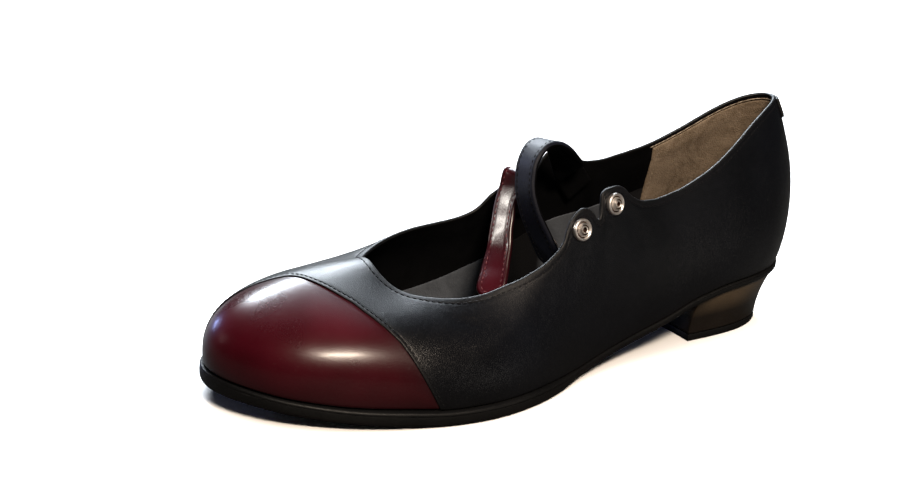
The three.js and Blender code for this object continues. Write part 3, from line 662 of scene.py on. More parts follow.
def makeSoleResin():
    # Matt moulded sole with a fine mill grain and shallow bands across its underside.
    material, tree, shader = newMaterial("soleResin", coat_weight=0.0, specular_ior_level=0.2)
    coords = objectCoords(tree)
    speck = addTexture(tree, coords, "Noise", {"Scale": 900.0, "Detail": 3.0})
    cloud = addTexture(tree, coords, "Noise", {"Scale": 45.0, "Detail": 4.0})
    tread = addTexture(tree, coords, "Wave", {"Scale": 60.0, "Distortion": 1.5, "Detail": 0.0},
                       wave_type="BANDS", bands_direction="X")
    scuff = placeGroup(tree, scuffGroup, coords, scale=120.0, amount=0.5)
    colour = mixColours(tree, rangeNode(tree, cloud.outputs[0], 0.3, 0.7), (0.0016, 0.0016, 0.0018),
                        (0.0036, 0.0035, 0.0035))
    colour = mixColours(tree, scuff.outputs["Mask"], colour, (0.014, 0.0135, 0.013))
    tree.links.new(colour, shader.inputs["Base Color"])
    tree.links.new(rangeNode(tree, speck.outputs[0], 0.3, 0.7, 0.42, 0.6), shader.inputs["Roughness"])
    facing = addNode(tree, "ShaderNodeNewGeometry")
    split = addNode(tree, "ShaderNodeSeparateXYZ")
    tree.links.new(facing.outputs["Normal"], split.inputs[0])
    below = rangeNode(tree, split.outputs["Z"], -0.7, -0.95)
    ribDepth = 6.0        # against the speck's
    ribs = mathNode(tree, "MULTIPLY", mathNode(tree, "MULTIPLY", tread.outputs[1], below), ribDepth)
    addBump(tree, shader, mathNode(tree, "ADD", speck.outputs[0], ribs), 0.00008)
    return material


def makeNickel():
    # Nickel plate with brown tarnish and rub marks.
    material, tree, shader = newMaterial("brightNickel", metallic=1.0)
    coords = objectCoords(tree)
    scuff = placeGroup(tree, scuffGroup, coords, scale=900.0, amount=0.8)
    tarnish = addTexture(tree, coords, "Noise", {"Scale": 420.0, "Detail": 4.0})
    colour = mixColours(tree, rangeNode(tree, tarnish.outputs[0], 0.45, 0.8), (0.9, 0.865, 0.84),
                        (0.6, 0.54, 0.49))
    tree.links.new(colour, shader.inputs["Base Color"])
    rough = mathNode(tree, "ADD", rangeNode(tree, tarnish.outputs[0], 0.3, 0.7, 0.34, 0.44),
                     mathNode(tree, "MULTIPLY", scuff.outputs["Mask"], 0.3))
    tree.links.new(rough, shader.inputs["Roughness"])
    addBump(tree, shader, tarnish.outputs[0], 0.00002)
    return material


def makeThread(name, dark, light):
    # Waxed thread, with slanting bands for its plies and a fuzz in the gloss.
    material, tree, shader = newMaterial(name, sheen_weight=0.0, coat_weight=0.0, specular_ior_level=0.15)
    coords = objectCoords(tree)
    ply = addTexture(tree, coords, "Wave", {"Scale": 900.0, "Distortion": 2.0}, bands_direction="DIAGONAL")
    fuzz = addTexture(tree, coords, "Noise", {"Scale": 2500.0, "Detail": 2.0})
    tree.links.new(mixColours(tree, ply.outputs[1], dark, light), shader.inputs["Base Color"])
    tree.links.new(rangeNode(tree, fuzz.outputs[0], 0.3, 0.7, 0.45, 0.7), shader.inputs["Roughness"])
    addBump(tree, shader, ply.outputs[1], 0.00005)
    return material


def makeStudHole():
    # Brown dirt in the stud's grooves and hole.
    material, tree, shader = newMaterial("studHole", metallic=0.6)
    speck = addTexture(tree, objectCoords(tree), "Noise", {"Scale": 1500.0, "Detail": 3.0})
    colour = mixColours(tree, speck.outputs[0], (0.012, 0.006, 0.004), (0.08, 0.038, 0.026))
    tree.links.new(colour, shader.inputs["Base Color"])
    tree.links.new(rangeNode(tree, speck.outputs[0], 0.3, 0.7, 0.35, 0.6), shader.inputs["Roughness"])
    return material


soleResin = makeSoleResin()
brightNickel = makeNickel()
blackThread = makeThread("blackThread", (0.0015, 0.0015, 0.002), (0.006, 0.006, 0.0075))
tanThread = makeThread("tanThread", (0.1, 0.075, 0.05), (0.34, 0.27, 0.2))
wineThread = makeThread("wineThread", (0.04, 0.008, 0.012), (0.15, 0.05, 0.055))
studHole = makeStudHole()
print("finishes made")


# Stitches: a thread laid along a line, one small grain of thread for each stitch

def makeStitchTree():
    tree, ins, outs = newGroup("stitchRow", [
        ("Geometry", "NodeSocketGeometry", None),
        ("Stitch Length", "NodeSocketFloat", 0.0018),
        ("Gap", "NodeSocketFloat", 0.0006),
        ("Thread Width", "NodeSocketFloat", 0.0005),
        ("Thread", "NodeSocketMaterial", None),
    ], [("Geometry", "NodeSocketGeometry")], "GeometryNodeTree")
    links = tree.links
    curve = tree.nodes.new("GeometryNodeMeshToCurve")
    resample = addNode(tree, "GeometryNodeResampleCurve", mode="LENGTH")
    pitch = mathNode(tree, "ADD", ins.outputs["Stitch Length"], ins.outputs["Gap"])
    grain = addNode(tree, "GeometryNodeMeshUVSphere", {"Segments": 8, "Rings": 6, "Radius": 0.5})
    size = tree.nodes.new("ShaderNodeCombineXYZ")
    thin = mathNode(tree, "MULTIPLY", ins.outputs["Thread Width"], 0.75)
    links.new(ins.outputs["Stitch Length"], size.inputs[0])
    links.new(ins.outputs["Thread Width"], size.inputs[1])
    links.new(thin, size.inputs[2])
    shape = tree.nodes.new("GeometryNodeTransform")
    links.new(grain.outputs["Mesh"], shape.inputs["Geometry"])
    links.new(size.outputs[0], shape.inputs["Scale"])
    facing = addNode(tree, "GeometryNodeInputNamedAttribute", {"Name": "faceUp"}, data_type="FLOAT_VECTOR")
    stand = addNode(tree, "FunctionNodeAlignRotationToVector", axis="Z")
    follow = addNode(tree, "FunctionNodeAlignRotationToVector", axis="X", pivot_axis="Z")
    tangent = tree.nodes.new("GeometryNodeInputTangent")
    links.new(facing.outputs["Attribute"], stand.inputs["Vector"])
    links.new(stand.outputs[0], follow.inputs["Rotation"])
    links.new(tangent.outputs[0], follow.inputs["Vector"])
    scatter = tree.nodes.new("GeometryNodeInstanceOnPoints")
    solid = tree.nodes.new("GeometryNodeRealizeInstances")
    finish = tree.nodes.new("GeometryNodeSetMaterial")
    links.new(ins.outputs["Geometry"], curve.inputs["Mesh"])
    links.new(curve.outputs[0], resample.inputs["Curve"])
    links.new(pitch, resample.inputs["Length"])
    links.new(resample.outputs[0], scatter.inputs["Points"])
    links.new(shape.outputs[0], scatter.inputs["Instance"])
    links.new(follow.outputs[0], scatter.inputs["Rotation"])
    links.new(scatter.outputs[0], solid.inputs[0])
    links.new(solid.outputs[0], finish.inputs["Geometry"])
    links.new(ins.outputs["Thread"], finish.inputs["Material"])
    links.new(finish.outputs[0], outs.inputs[0])
    return tree


stitchTree = makeStitchTree()


def stitchLine(name, points, normals, thread, slot, length=1.7, gap=0.5, width=0.45, closed=False):
    # Lays stitches along points (millimetres), each flat on its normal.
    mesh = bpy.data.meshes.new(name + "Path")
    count = len(points)
    edges = [(i, i + 1) for i in range(count - 1)] + ([(count - 1, 0)] if closed else [])
    mesh.from_pydata((np.asarray(points) * millimetre).tolist(), edges, [])
    layer = mesh.attributes.new("faceUp", "FLOAT_VECTOR", "POINT")
    layer.data.foreach_set("vector", np.asarray(normals, np.float32).reshape(-1))
    source = newObject(name + "Path", mesh)
    modifier = source.modifiers.new("Stitches", "NODES")
    modifier.node_group = stitchTree
    values = {"Stitch Length": length * millimetre, "Gap": gap * millimetre,
              "Thread Width": width * millimetre, "Thread": thread}
    for item in stitchTree.interface.items_tree:
        if item.in_out == "INPUT" and item.name in values:
            modifier[item.identifier] = values[item.name]
    addPiece(plainCopy(source, name), [])


def stitchOnWall(name, turns, ups, depth, thread, slot, inside=False, **sizes):
    # A stitch row on the side of the upper, seen from outside or from inside the shoe.
    facing = sideNormal(turns, ups) * (-1 if inside else 1)
    stitchLine(name, wallPoint(turns, ups, depth), facing, thread, slot, **sizes)


# Upper: one skin from the feather line or the cap seam, over the folded topline, down the lining

upperLook = dict(
    columns=660,
    sideRows=34,
    liningRows=30,
    edgeWidth=1.5,       # folded topline
    foldAt=2.4,          # first stitch row below the edge
    foldGroove=0.13,
    foldGrooveWide=0.4,
    seamStitchAt=1.5,    # stitch row above the cap seam
    seamGroove=0.12,
    seamGrooveWide=0.35,
    cutEdge=0.5,         # width of the rounding at the vamp's cut edge
    cutDrop=0.3,
    heelSeam=0.22,       # groove of the back seam
    heelSeamWide=0.45,
    calm=10,             # folds fade within this distance of both edges
    edgeReach=2.5,       # an edge's darker colour fades over this distance
    stitchSink=0.02,     # how deep the thread lies
)

# Soft folds of the leather: turn, up, half length and half width in mm, heading in degrees, depth in mm
leatherFolds = [
    dict(turn=0.262, up=0.70, long=16, wide=5.0, heading=62, depth=0.20),
    dict(turn=0.292, up=0.66, long=15, wide=4.5, heading=80, depth=0.16),
    dict(turn=0.320, up=0.72, long=17, wide=5.0, heading=112, depth=0.22),
    dict(turn=0.230, up=0.66, long=14, wide=4.0, heading=35, depth=0.25),
    dict(turn=0.190, up=0.60, long=13, wide=4.5, heading=20, depth=-0.30),
    dict(turn=0.160, up=0.78, long=11, wide=3.5, heading=-10, depth=0.25),
    dict(turn=0.420, up=0.45, long=18, wide=7.0, heading=95, depth=0.40),
    dict(turn=0.465, up=0.70, long=12, wide=5.0, heading=20, depth=0.30),
    dict(turn=0.560, up=0.48, long=18, wide=7.0, heading=85, depth=0.40),
    dict(turn=0.700, up=0.62, long=16, wide=5.0, heading=100, depth=0.50),
    dict(turn=0.740, up=0.66, long=15, wide=5.0, heading=65, depth=0.45),
    dict(turn=0.800, up=0.60, long=14, wide=4.5, heading=-25, depth=0.30),
]


foldBend = 0.012      # how much each fold curves


def foldDepthAt(turn, up):
    total = np.zeros(np.broadcast(turn, up).shape)
    for fold in leatherFolds:
        away = (np.asarray(turn) - fold["turn"] + 0.5) % 1 - 0.5
        run = away * roundShoe
        rise = (np.asarray(up) - fold["up"]) * sideHigh
        heading = math.radians(fold["heading"])
        along = run * math.cos(heading) + rise * math.sin(heading)
        across = -run * math.sin(heading) + rise * math.cos(heading)
        bent = across - foldBend * along * along
        total += fold["depth"] * np.exp(-(along / fold["long"]) ** 2 - (bent / fold["wide"]) ** 2)
    return total


def wallDepthAt(turn, up):
    # Thickness of leather with lining, thinner towards the folded edge.
    below = (toplineAt(turn) - up) * collarHigh
    thin = upperLook["edgeWidth"]
    thinned = 9           # millimetres below the edge
    return thin + (last["wall"] - thin) * smooth(below / thinned)


def loopSmooth(values, spread):
    # Smooths a value that grows by one round the shoe.
    count = len(values)
    even = np.arange(count) / count
    rest = np.unwrap((values - even) * 2 * math.pi) / (2 * math.pi)
    reach = int(spread * 3)
    weights = np.exp(-0.5 * (np.arange(-reach, reach + 1) / spread) ** 2)
    weights /= weights.sum()
    long = np.concatenate([rest[-reach:], rest, rest[:reach]])
    return np.convolve(long, weights, mode="valid") + even


def shellTurns(count):
    # Turns spaced by the lengths of both edges, and closer together at the back seam.
    fineCount = 16000
    lowWeight = 0.6
    seamWeight = 0.06
    seamSpread = 0.003
    fine = np.arange(fineCount) / fineCount
    top = sidePoint(fine, toplineAt(fine))
    floor = sidePoint(fine, seamFloorAt(fine))
    steps = np.linalg.norm(np.roll(top, -1, 0) - top, axis=1)
    steps += lowWeight * np.linalg.norm(np.roll(floor, -1, 0) - floor, axis=1)
    steps += seamWeight * np.exp(-((fine - 0.5) / seamSpread) ** 2)
    total = np.concatenate([[0], np.cumsum(steps)])
    return np.interp(np.arange(count) / count * total[-1], total, np.append(fine, 1.0))


def makeUpperSkin():
    look = upperLook
    radius = look["edgeWidth"] / 2
    turns = shellTurns(look["columns"])
    edgeTurn, edgeUp = lineOffset(turns, toplineAt, radius)
    foot = loopSmooth(edgeTurn, spread=9)
    floor = seamFloorAt(foot)

    def path(share):
        turn = foot[:, None] + (edgeTurn - foot)[:, None] * smooth(share)
        return turn, floor[:, None] + (edgeUp - floor)[:, None] * share

    probe = np.linspace(0, 1, 40)[None, :]
    length = np.linalg.norm(np.diff(sidePoint(*path(probe)), axis=1), axis=-1).sum(1)[:, None]
    topBand = np.array([0, 0.3, 0.65, 1.0, 1.3, 1.6, 1.95, 2.35, 2.8, 3.4, 4.2, 5.4])[None, :]
    lowBand = np.array([0, 0.18, 0.42, 0.7, 1.0, 1.3, 1.6, 1.95, 2.4, 3.2])[None, :]
    lowShare = lowBand / length
    topShare = 1 - topBand / length
    between = np.linspace(0, 1, look["sideRows"])[None, 1:-1]
    middle = lowShare[:, -1:] + (topShare[:, -1:] - lowShare[:, -1:]) * between
    share = np.concatenate([lowShare, middle, topShare[:, ::-1]], axis=1)
    turn, up = path(share)
    fromTop = (1 - share) * length + radius
    fromLow = share * length
    depth = foldDepthAt(turn, up) * smooth(fromTop / look["calm"]) * smooth(fromLow / look["calm"])
    depth += look["foldGroove"] * np.exp(-((fromTop - look["foldAt"]) / look["foldGrooveWide"]) ** 2)
    onSeam = (floor > 0.02)[:, None]
    groove = np.exp(-((fromLow - look["seamStitchAt"]) / look["seamGrooveWide"]) ** 2)
    depth += onSeam * look["seamGroove"] * groove
    fall = 1 - np.clip(fromLow / look["cutEdge"], 0, 1)
    depth += look["cutDrop"] * (1 - np.sqrt(1 - fall**2))
    depth += look["heelSeam"] * np.exp(-((turn - 0.5) * roundShoe / look["heelSeamWide"]) ** 2)
    outer = wallPoint(turn, up, depth)

    crest = sidePoint(edgeTurn, edgeUp)
    normal = sideNormal(edgeTurn, edgeUp)
    run = unit(np.roll(crest, -1, 0) - np.roll(crest, 1, 0))
    rise = unit(np.cross(normal, run))
    angles = np.linspace(0, math.pi, 9)[1:-1][None, :, None]
    roll = (crest[:, None] - normal[:, None] * radius
            + radius * (np.cos(angles) * normal[:, None] + np.sin(angles) * rise[:, None]))

    down = np.concatenate([[0, 0.012, 0.03, 0.055], np.linspace(0.09, 1, look["liningRows"])])[None, :]
    innerTurn = foot[:, None] + (edgeTurn - foot)[:, None] * smooth(1 - down)
    innerUp = edgeUp[:, None] * (1 - down)
    inner = wallPoint(innerTurn, innerUp, wallDepthAt(innerTurn, innerUp))

    # From the feather line back up to the seam, sunk under the cap, and out to the vamp's cut edge
    under = np.array([0.12, 0.35, 0.6, 0.85, 1.0])[None, :]
    sunk = last["wall"] - last["wall"] / 2 * np.sqrt(under) + 0 * foot[:, None]
    under = wallPoint(foot[:, None], floor[:, None] * under, sunk)
    rim = wallPoint(foot[:, None], floor[:, None], np.array([0.9, 0.6])[None, :] + 0 * foot[:, None])
    grid = np.concatenate([outer, roll, inner, under, rim], axis=1)
    columns, rows = grid.shape[:2]
    near = np.zeros((columns, rows))
    outerRows = outer.shape[1]
    firstInner = outerRows + roll.shape[1]
    near[:, :outerRows] = np.exp(-np.minimum(fromTop, fromLow) / look["edgeReach"])
    near[:, outerRows:firstInner + 1] = 1
    faces = gridFaces(columns, rows)
    mesh = meshFrom("upperSkin", grid, faces, {"edgeNear": near})
    lining = np.tile((np.arange(rows) >= firstInner - 2).astype(np.int32), columns)
    mesh.polygons.foreach_set("material_index", lining)
    addPiece(mesh, [blackCalf, liningBlack], ["upper"])
    print("upper skin:", len(faces) * 2, "triangles")


makeUpperSkin()

# Stitch rows on the upper

stitchTurn, stitchUp = lineOffset(shellTurns(900), toplineAt, upperLook["foldAt"])
stitchOnWall("toplineStitch", stitchTurn, stitchUp, upperLook["stitchSink"], blackThread, "black_leather",
             closed=True)

seamTurns = np.linspace(-0.0598, 0.1585, 400)
stitchTurn, stitchUp = lineOffset(seamTurns, seamFloorAt, upperLook["seamStitchAt"], 1)
keep = stitchUp > 0.01
stitchOnWall("vampStitch", stitchTurn[keep], stitchUp[keep], upperLook["stitchSink"], blackThread,
             "black_leather", length=1.5, gap=0.45)
print("upper stitched")

# Toe cap: polished wine calf under the vamp's edge

capLook = dict(start=-0.0603, end=0.1595, face=0.45, back=1.25, tuck=0.02, softEdge=0.7)
capMesh = leatherPatch(
    "toeCapSkin", capLook["start"], capLook["end"], levelAt(0),
    lambda turn: seamFloorAt(turn) + capLook["tuck"],
    capLook["face"], capLook["back"], soft=capLook["softEdge"], step=1.3)
addPiece(capMesh, wineCalf, ["toe_cap"])
print("toe cap made")

# Back tab with its stitches

tabLook = dict(half=0.024, foot=0.875, head=0.985, face=-1.05, back=-0.05, stitchUp=0.893, stitchIn=0.003)
tabMesh = leatherPatch(
    "backTabSkin", 0.5 - tabLook["half"], 0.5 + tabLook["half"], levelAt(tabLook["foot"]),
    levelAt(tabLook["head"]), tabLook["face"], tabLook["back"], soft=0.5, step=0.7)
addPiece(tabMesh, blackCalf, ["back_tab"])
stitchHalf = tabLook["half"] - tabLook["stitchIn"]
stitchOnWall("backTabStitch", np.linspace(0.5 - stitchHalf, 0.5 + stitchHalf, 40), tabLook["stitchUp"],
             tabLook["face"] + 0.03, blackThread, "black_leather", length=1.3, gap=0.4, width=0.4)

# Linings: brushed tan round the heel, a grey facing along the bottom of both sides

liningLook = dict(
    thick=0.5, heelStart=0.383, heelEnd=0.617, foot=0.05,
    heelHead=2.4,         # millimetres below the topline
    stitchIn=0.0032,
    sunk=0.2,             # how far the back lies inside the wall
)
facingLook = dict(thick=0.3, foot=0.02, inner=(0.6175, 0.80), outer=(0.20, 0.3825))
bindLook = dict(below=1.75, proud=0.05, length=3.2, gap=-1.6, width=0.5)


def liningPatch(name, start, end, foot, highAt, material, thick, shadowAt=None):
    mesh = leatherPatch(
        name, start, end, levelAt(foot), highAt, lambda turn, up: wallDepthAt(turn, up) + thick,
        lambda turn, up: wallDepthAt(turn, up) - liningLook["sunk"],
        soft=thick * 1.2, step=1.5, shadowAt=shadowAt)
    addPiece(mesh, material)


# The facing is left pale where light reaches it, at the waist and before the bars: turns of start and end,
# fade in, fade out
litSpans = [[0.306, 0.362, 0.006, 0.012], [0.218, 0.269, 0.006, 0.006]]


def facingBarShadow(turn):
    # Everywhere else, beside the bars above all, it is dark: painted shadow that the bars cast.
    turn = np.minimum(turn, 1 - turn)
    waist, front = [smooth((turn - start) / fadeIn) * smooth((end - turn) / fadeOut)
                    for start, end, fadeIn, fadeOut in litSpans]
    return 1 - np.maximum(waist, front)


liningPatch("heelLining", liningLook["heelStart"], liningLook["heelEnd"], liningLook["foot"],
            lambda turn: toplineAt(turn) - liningLook["heelHead"] / collarHigh, liningTan,
            liningLook["thick"])
# Head of the inner facing: turn and share of the side's height
greyRows = [[0.618, 0.600], [0.648, 0.597], [0.669, 0.559], [0.692, 0.517], [0.712, 0.474], [0.732, 0.439],
            [0.744, 0.413], [0.761, 0.347], [0.774, 0.291], [0.800, 0.200]]
greyLine = monotone(greyRows)
liningPatch("innerFacing", *facingLook["inner"], facingLook["foot"], greyLine, sockGrey,
            facingLook["thick"], facingBarShadow)
liningPatch("outerFacing", *facingLook["outer"], facingLook["foot"], lambda turn: greyLine(1 - turn),
            sockGrey, facingLook["thick"], facingBarShadow)
for label, place in (("heelLiningStitchInner", liningLook["heelEnd"] - liningLook["stitchIn"]),
                     ("heelLiningStitchOuter", liningLook["heelStart"] + liningLook["stitchIn"])):
    ups = np.linspace(0.1, 0.93, 60) * toplineAt(place)
    depth = wallDepthAt(place, ups) + liningLook["thick"]
    stitchOnWall(label, np.full(60, place), ups, depth, tanThread, "insole_board", inside=True,
                 length=1.6, gap=0.5)

# A pale binding shows between the heel lining and the folded topline
bindTurns = np.linspace(liningLook["heelStart"], liningLook["heelEnd"], 160)
bindUps = toplineAt(bindTurns) - bindLook["below"] / collarHigh
bindDepths = wallDepthAt(bindTurns, bindUps) + bindLook["proud"]
stitchOnWall("heelBinding", bindTurns, bindUps, bindDepths, tanThread, "insole_board", inside=True,
             length=bindLook["length"], gap=bindLook["gap"], width=bindLook["width"])
print("linings made")


# Sole, insole and heel follow the outline of the bed

def bedOutline(growAt):
    # The feather line seen from above, grown outwards, as the two sides' places for each x.
    count = 1600
    turn = np.arange(count) / count
    step = 1e-4

    def plan(t):
        x = lastLines[0](t) * last["length"] - last["back"]
        return np.stack([x, lastLines[1](t) * last["ball"]], -1)

    run = unit(plan(turn + step) - plan(turn - step))
    place = plan(turn)
    out = growAt(place[:, 0])[:, None]
    line = place + np.stack([run[:, 1], -run[:, 0]], -1) * out
    tip = int(np.argmax(line[:, 0]))
    back = int(np.argmin(line[:, 0]))
    line = np.roll(line, -tip, 0)
    back = (back - tip) % len(line)
    outer = line[:back + 1][::-1]
    inner = np.concatenate([line[back:], line[:1]])
    return dict(
        start=line[back, 0], end=line[0, 0],
        outer=lambda x: np.interp(x, outer[:, 0], outer[:, 1]),
        inner=lambda x: np.interp(x, inner[:, 0], inner[:, 1]))


def plateMesh(name, outline, topAt, bottomAt, edge, count):
    # A plate along the bed: sections along X, with its edge as inset and share of the thickness.
    tipWidth = 8          # narrower than this, the insets shrink
    margin = 0.0002       # share of the length left out at both tips
    crowding = 0.75       # how much the sections crowd towards the tips
    wide = np.linspace(0, 1, 13)[1:-1]
    even = np.arange(count + 1) / count
    eased = (1 - np.cos(math.pi * even)) / 2
    spaced = margin + (1 - 2 * margin) * (crowding * eased + (1 - crowding) * even)
    x = outline["start"] + (outline["end"] - outline["start"]) * spaced
    outer = outline["outer"](x)
    inner = outline["inner"](x)
    room = np.minimum(1, (outer - inner) / tipWidth)
    top = topAt(x)
    bottom = bottomAt(x)
    rings = []
    for i in range(count + 1):
        height = [top[i] + (bottom[i] - top[i]) * drop for inset, drop in edge]
        right = [[x[i], outer[i] - inset * room[i], z] for (inset, drop), z in zip(edge, height)]
        left = [[x[i], inner[i] + inset * room[i], z] for (inset, drop), z in zip(edge, height)]
        under = [[x[i], right[-1][1] + (left[-1][1] - right[-1][1]) * w, height[-1]] for w in wide]
        over = [[x[i], left[0][1] + (right[0][1] - left[0][1]) * w, height[0]] for w in wide]
        rings.append(right + under + left[::-1] + over)
    grid = np.array(rings)
    return closeMesh(meshFrom(name, grid, gridFaces(count + 1, grid.shape[1], False, True)))


soleLook = dict(waistEdge=0.5, foreEdge=1.8)


def soleEdgeAt(x):
    return soleLook["waistEdge"] + (soleLook["foreEdge"] - soleLook["waistEdge"]) * edgeAt(alongOf(x))


# Edge of the sole with a fine groove: inset and share of the thickness
soleEdge = [
    [1.1, 0.0], [0.55, 0.03], [0.2, 0.08], [0.05, 0.15], [0.02, 0.21], [0.3, 0.235], [0.34, 0.26],
    [0.05, 0.285], [0.0, 0.36], [0.0, 0.52], [0.04, 0.68], [0.14, 0.8], [0.34, 0.9], [0.7, 0.97], [1.2, 1.0],
]
soleMesh = plateMesh("soleSkin", bedOutline(soleEdgeAt), soleTopAt, undersideAt, soleEdge, 260)
addPiece(soleMesh, soleResin, ["outsole"], sharp=50)

insoleLook = dict(inset=3.15, thick=1.8)
insoleEdge = [[0.9, 0.0], [0.45, 0.04], [0.15, 0.14], [0.03, 0.3], [0, 0.5], [0, 0.8], [0.1, 1]]
insoleOutline = bedOutline(lambda x: 0 * x - insoleLook["inset"])
insoleMesh = plateMesh(
    "sockLining", insoleOutline, lambda x: bedAt(x) + insoleLook["thick"], bedAt, insoleEdge, 200)
addPiece(insoleMesh, sockGrey, ["insole"], sharp=50)

heelLook = dict(
    breast=25,            # front face, ahead of the origin
    breastPitch=1.5,      # how far it leans back at the floor
    hollow=1.6,
    pitch=7.5,            # how far the back leans in at the floor
    narrow=0.2,
    narrowBack=0.4,       # share of that at the very back
    curve=2.2,            # power of both curves
    lift=2.6,
)
heelOutline = bedOutline(lambda x: 0 * x - soleLook["waistEdge"])


def heelRing(share, zAt, steps=44):
    look = heelLook
    pull = 1 - share ** look["curve"]
    start = heelOutline["start"]
    back = start + look["pitch"] * pull
    breast = look["breast"] - look["breastPitch"] * pull
    firstStep = 0.012     # keeps both sides' first points apart at the back
    middleReach = 0.97    # and their last ones apart in the middle of the breast
    eased = 1 - np.cos(math.pi / 2 * (firstStep + (1 - firstStep) * np.arange(steps + 1) / steps))
    x = back + (breast - back) * eased
    fullX = start + (look["breast"] - start) * eased
    narrow = 1 - look["narrow"] * pull * (look["narrowBack"] + (1 - look["narrowBack"]) * eased)
    hollowSteps = np.linspace(0, 1, 9)[1:]

    def side(half):
        y = half(fullX) * narrow
        innerX = x[-1] - look["hollow"] * (1 - (1 - hollowSteps) ** look["curve"])
        innerY = y[-1] * (1 - middleReach * hollowSteps)
        return np.stack([np.concatenate([x, innerX]), np.concatenate([y, innerY])], -1)

    ring = np.concatenate([side(heelOutline["outer"]), side(heelOutline["inner"])[::-1]])
    return np.column_stack([ring, zAt(ring[:, 0])])


def heelMesh(name, levels, shareAt, zAt, soft):
    # Rings of the heel's section from the floor up, with soft edges by a bevel.
    grid = np.array([heelRing(shareAt(level), lambda x: zAt(x, level)) for level in levels])
    mesh = closeMesh(meshFrom(name + "Raw", grid, gridFaces(len(levels), grid.shape[1], False, True)))
    carrier = newObject(name + "Raw", mesh)
    bevel = carrier.modifiers.new("softEdges", "BEVEL")
    bevel.width = soft * millimetre
    bevel.segments = 3
    bevel.limit_method = "ANGLE"
    bevel.angle_limit = math.radians(40)
    return plainCopy(carrier, name)


heelFoot = heelLook["lift"] + last["gap"]
blockMesh = heelMesh(
    "heelCoverSkin", np.linspace(0, 1, 22),
    lambda level: (heelFoot + (last["heel"] - heelFoot) * level) / last["heel"],
    lambda x, level: heelFoot + (undersideAt(x) - last["gap"] * 0.3 - heelFoot) * level, 0.45)
addPiece(blockMesh, heelCover, ["heel_block"], sharp=60)
liftMesh = heelMesh(
    "topLiftSkin", [0, 0.5, 1], lambda level: level * heelLook["lift"] / last["heel"],
    lambda x, level: 0 * x + heelLook["lift"] * level, 0.25)
addPiece(liftMesh, soleResin, ["heel_top_lift"], sharp=60)
print("sole, insole and heel made")

# Bars: rows of along, side, high above the bed, and plan and tilt angles of the width

barLook = dict(
    thick=2.2,
    seat=1.0,             # the root's distance from the lining
    stitchIn=2.0, stitchGroove=0.14, stitchGrooveWide=0.4, stitchFrom=4, stitchStep=0.8,
    bead=0.12, beadIn=0.95, beadWide=0.5,
    edgeReach=1.6,
    wave=0.10, ripple=0.42, swell=0.17,   # slow unevenness along the strip
)
tipShares = (0.12, 0.24, 0.36, 0.48, 0.6, 0.7, 0.79, 0.87, 0.93, 0.97, 0.99, 0.998)
frontBar = dict(
    name="frontBar", width=11, slant=39, seats=[[0.7140, 0.760], [0.7260, 0.860]],
    rows=[
        [0.471, -0.181, 0.763, -28, -13], [0.473, -0.161, 0.843, -47, 2], [0.475, -0.162, 0.896, -66, 8],
        [0.483, -0.157, 0.909, -74, 5], [0.490, -0.157, 0.834, -82, -4], [0.500, -0.148, 0.733, -85, -10],
        [0.511, -0.119, 0.626, -83, -13], [0.523, -0.081, 0.527, -75, -14],
        [0.539, -0.040, 0.441, -65, -11], [0.551, -0.007, 0.387, -58, -8],
        [0.563, 0.022, 0.326, -52, -5], [0.570, 0.037, 0.296, -49, -3],
    ])
rearBar = dict(
    name="rearBar", width=12, slant=54, seats=[[0.6700, 0.760], [0.6825, 0.870]],
    rows=[
        [0.385, -0.146, 0.820, -28, -30], [0.406, -0.107, 0.922, -53, -10], [0.428, -0.080, 1.030, -73, -4],
        [0.453, -0.063, 1.103, -83, -6], [0.480, -0.049, 1.114, -89, -10], [0.499, -0.033, 1.043, -94, -14],
        [0.506, -0.013, 0.922, -97, -16], [0.503, 0.015, 0.795, -96, -18], [0.492, 0.042, 0.667, -92, -18],
        [0.479, 0.066, 0.548, -88, -16], [0.466, 0.088, 0.435, -84, -14],
    ])


def threadedCurve(points):
    # Curve through points whose pace follows the square root of their distances.
    points = np.array(points, float)
    full = np.concatenate([[2 * points[0] - points[1]], points, [2 * points[-1] - points[-2]]])

    def at(t):
        place = np.clip(t, 0, 1) * (len(points) - 1)
        i = min(int(place), len(points) - 2)
        w = place - i
        p0, p1, p2, p3 = full[i:i + 4]
        d0, d1, d2 = [max(np.linalg.norm(b - a) ** 0.5, 1e-4) for a, b in ((p0, p1), (p1, p2), (p2, p3))]
        t1 = ((p1 - p0) / d0 - (p2 - p0) / (d0 + d1) + (p2 - p1) / d1) * d1
        t2 = ((p2 - p1) / d1 - (p3 - p1) / (d1 + d2) + (p3 - p2) / d2) * d1
        return (p1 + t1 * w + (-3 * p1 + 3 * p2 - 2 * t1 - t2) * w**2
                + (2 * p1 - 2 * p2 + t1 + t2) * w**3)

    return at


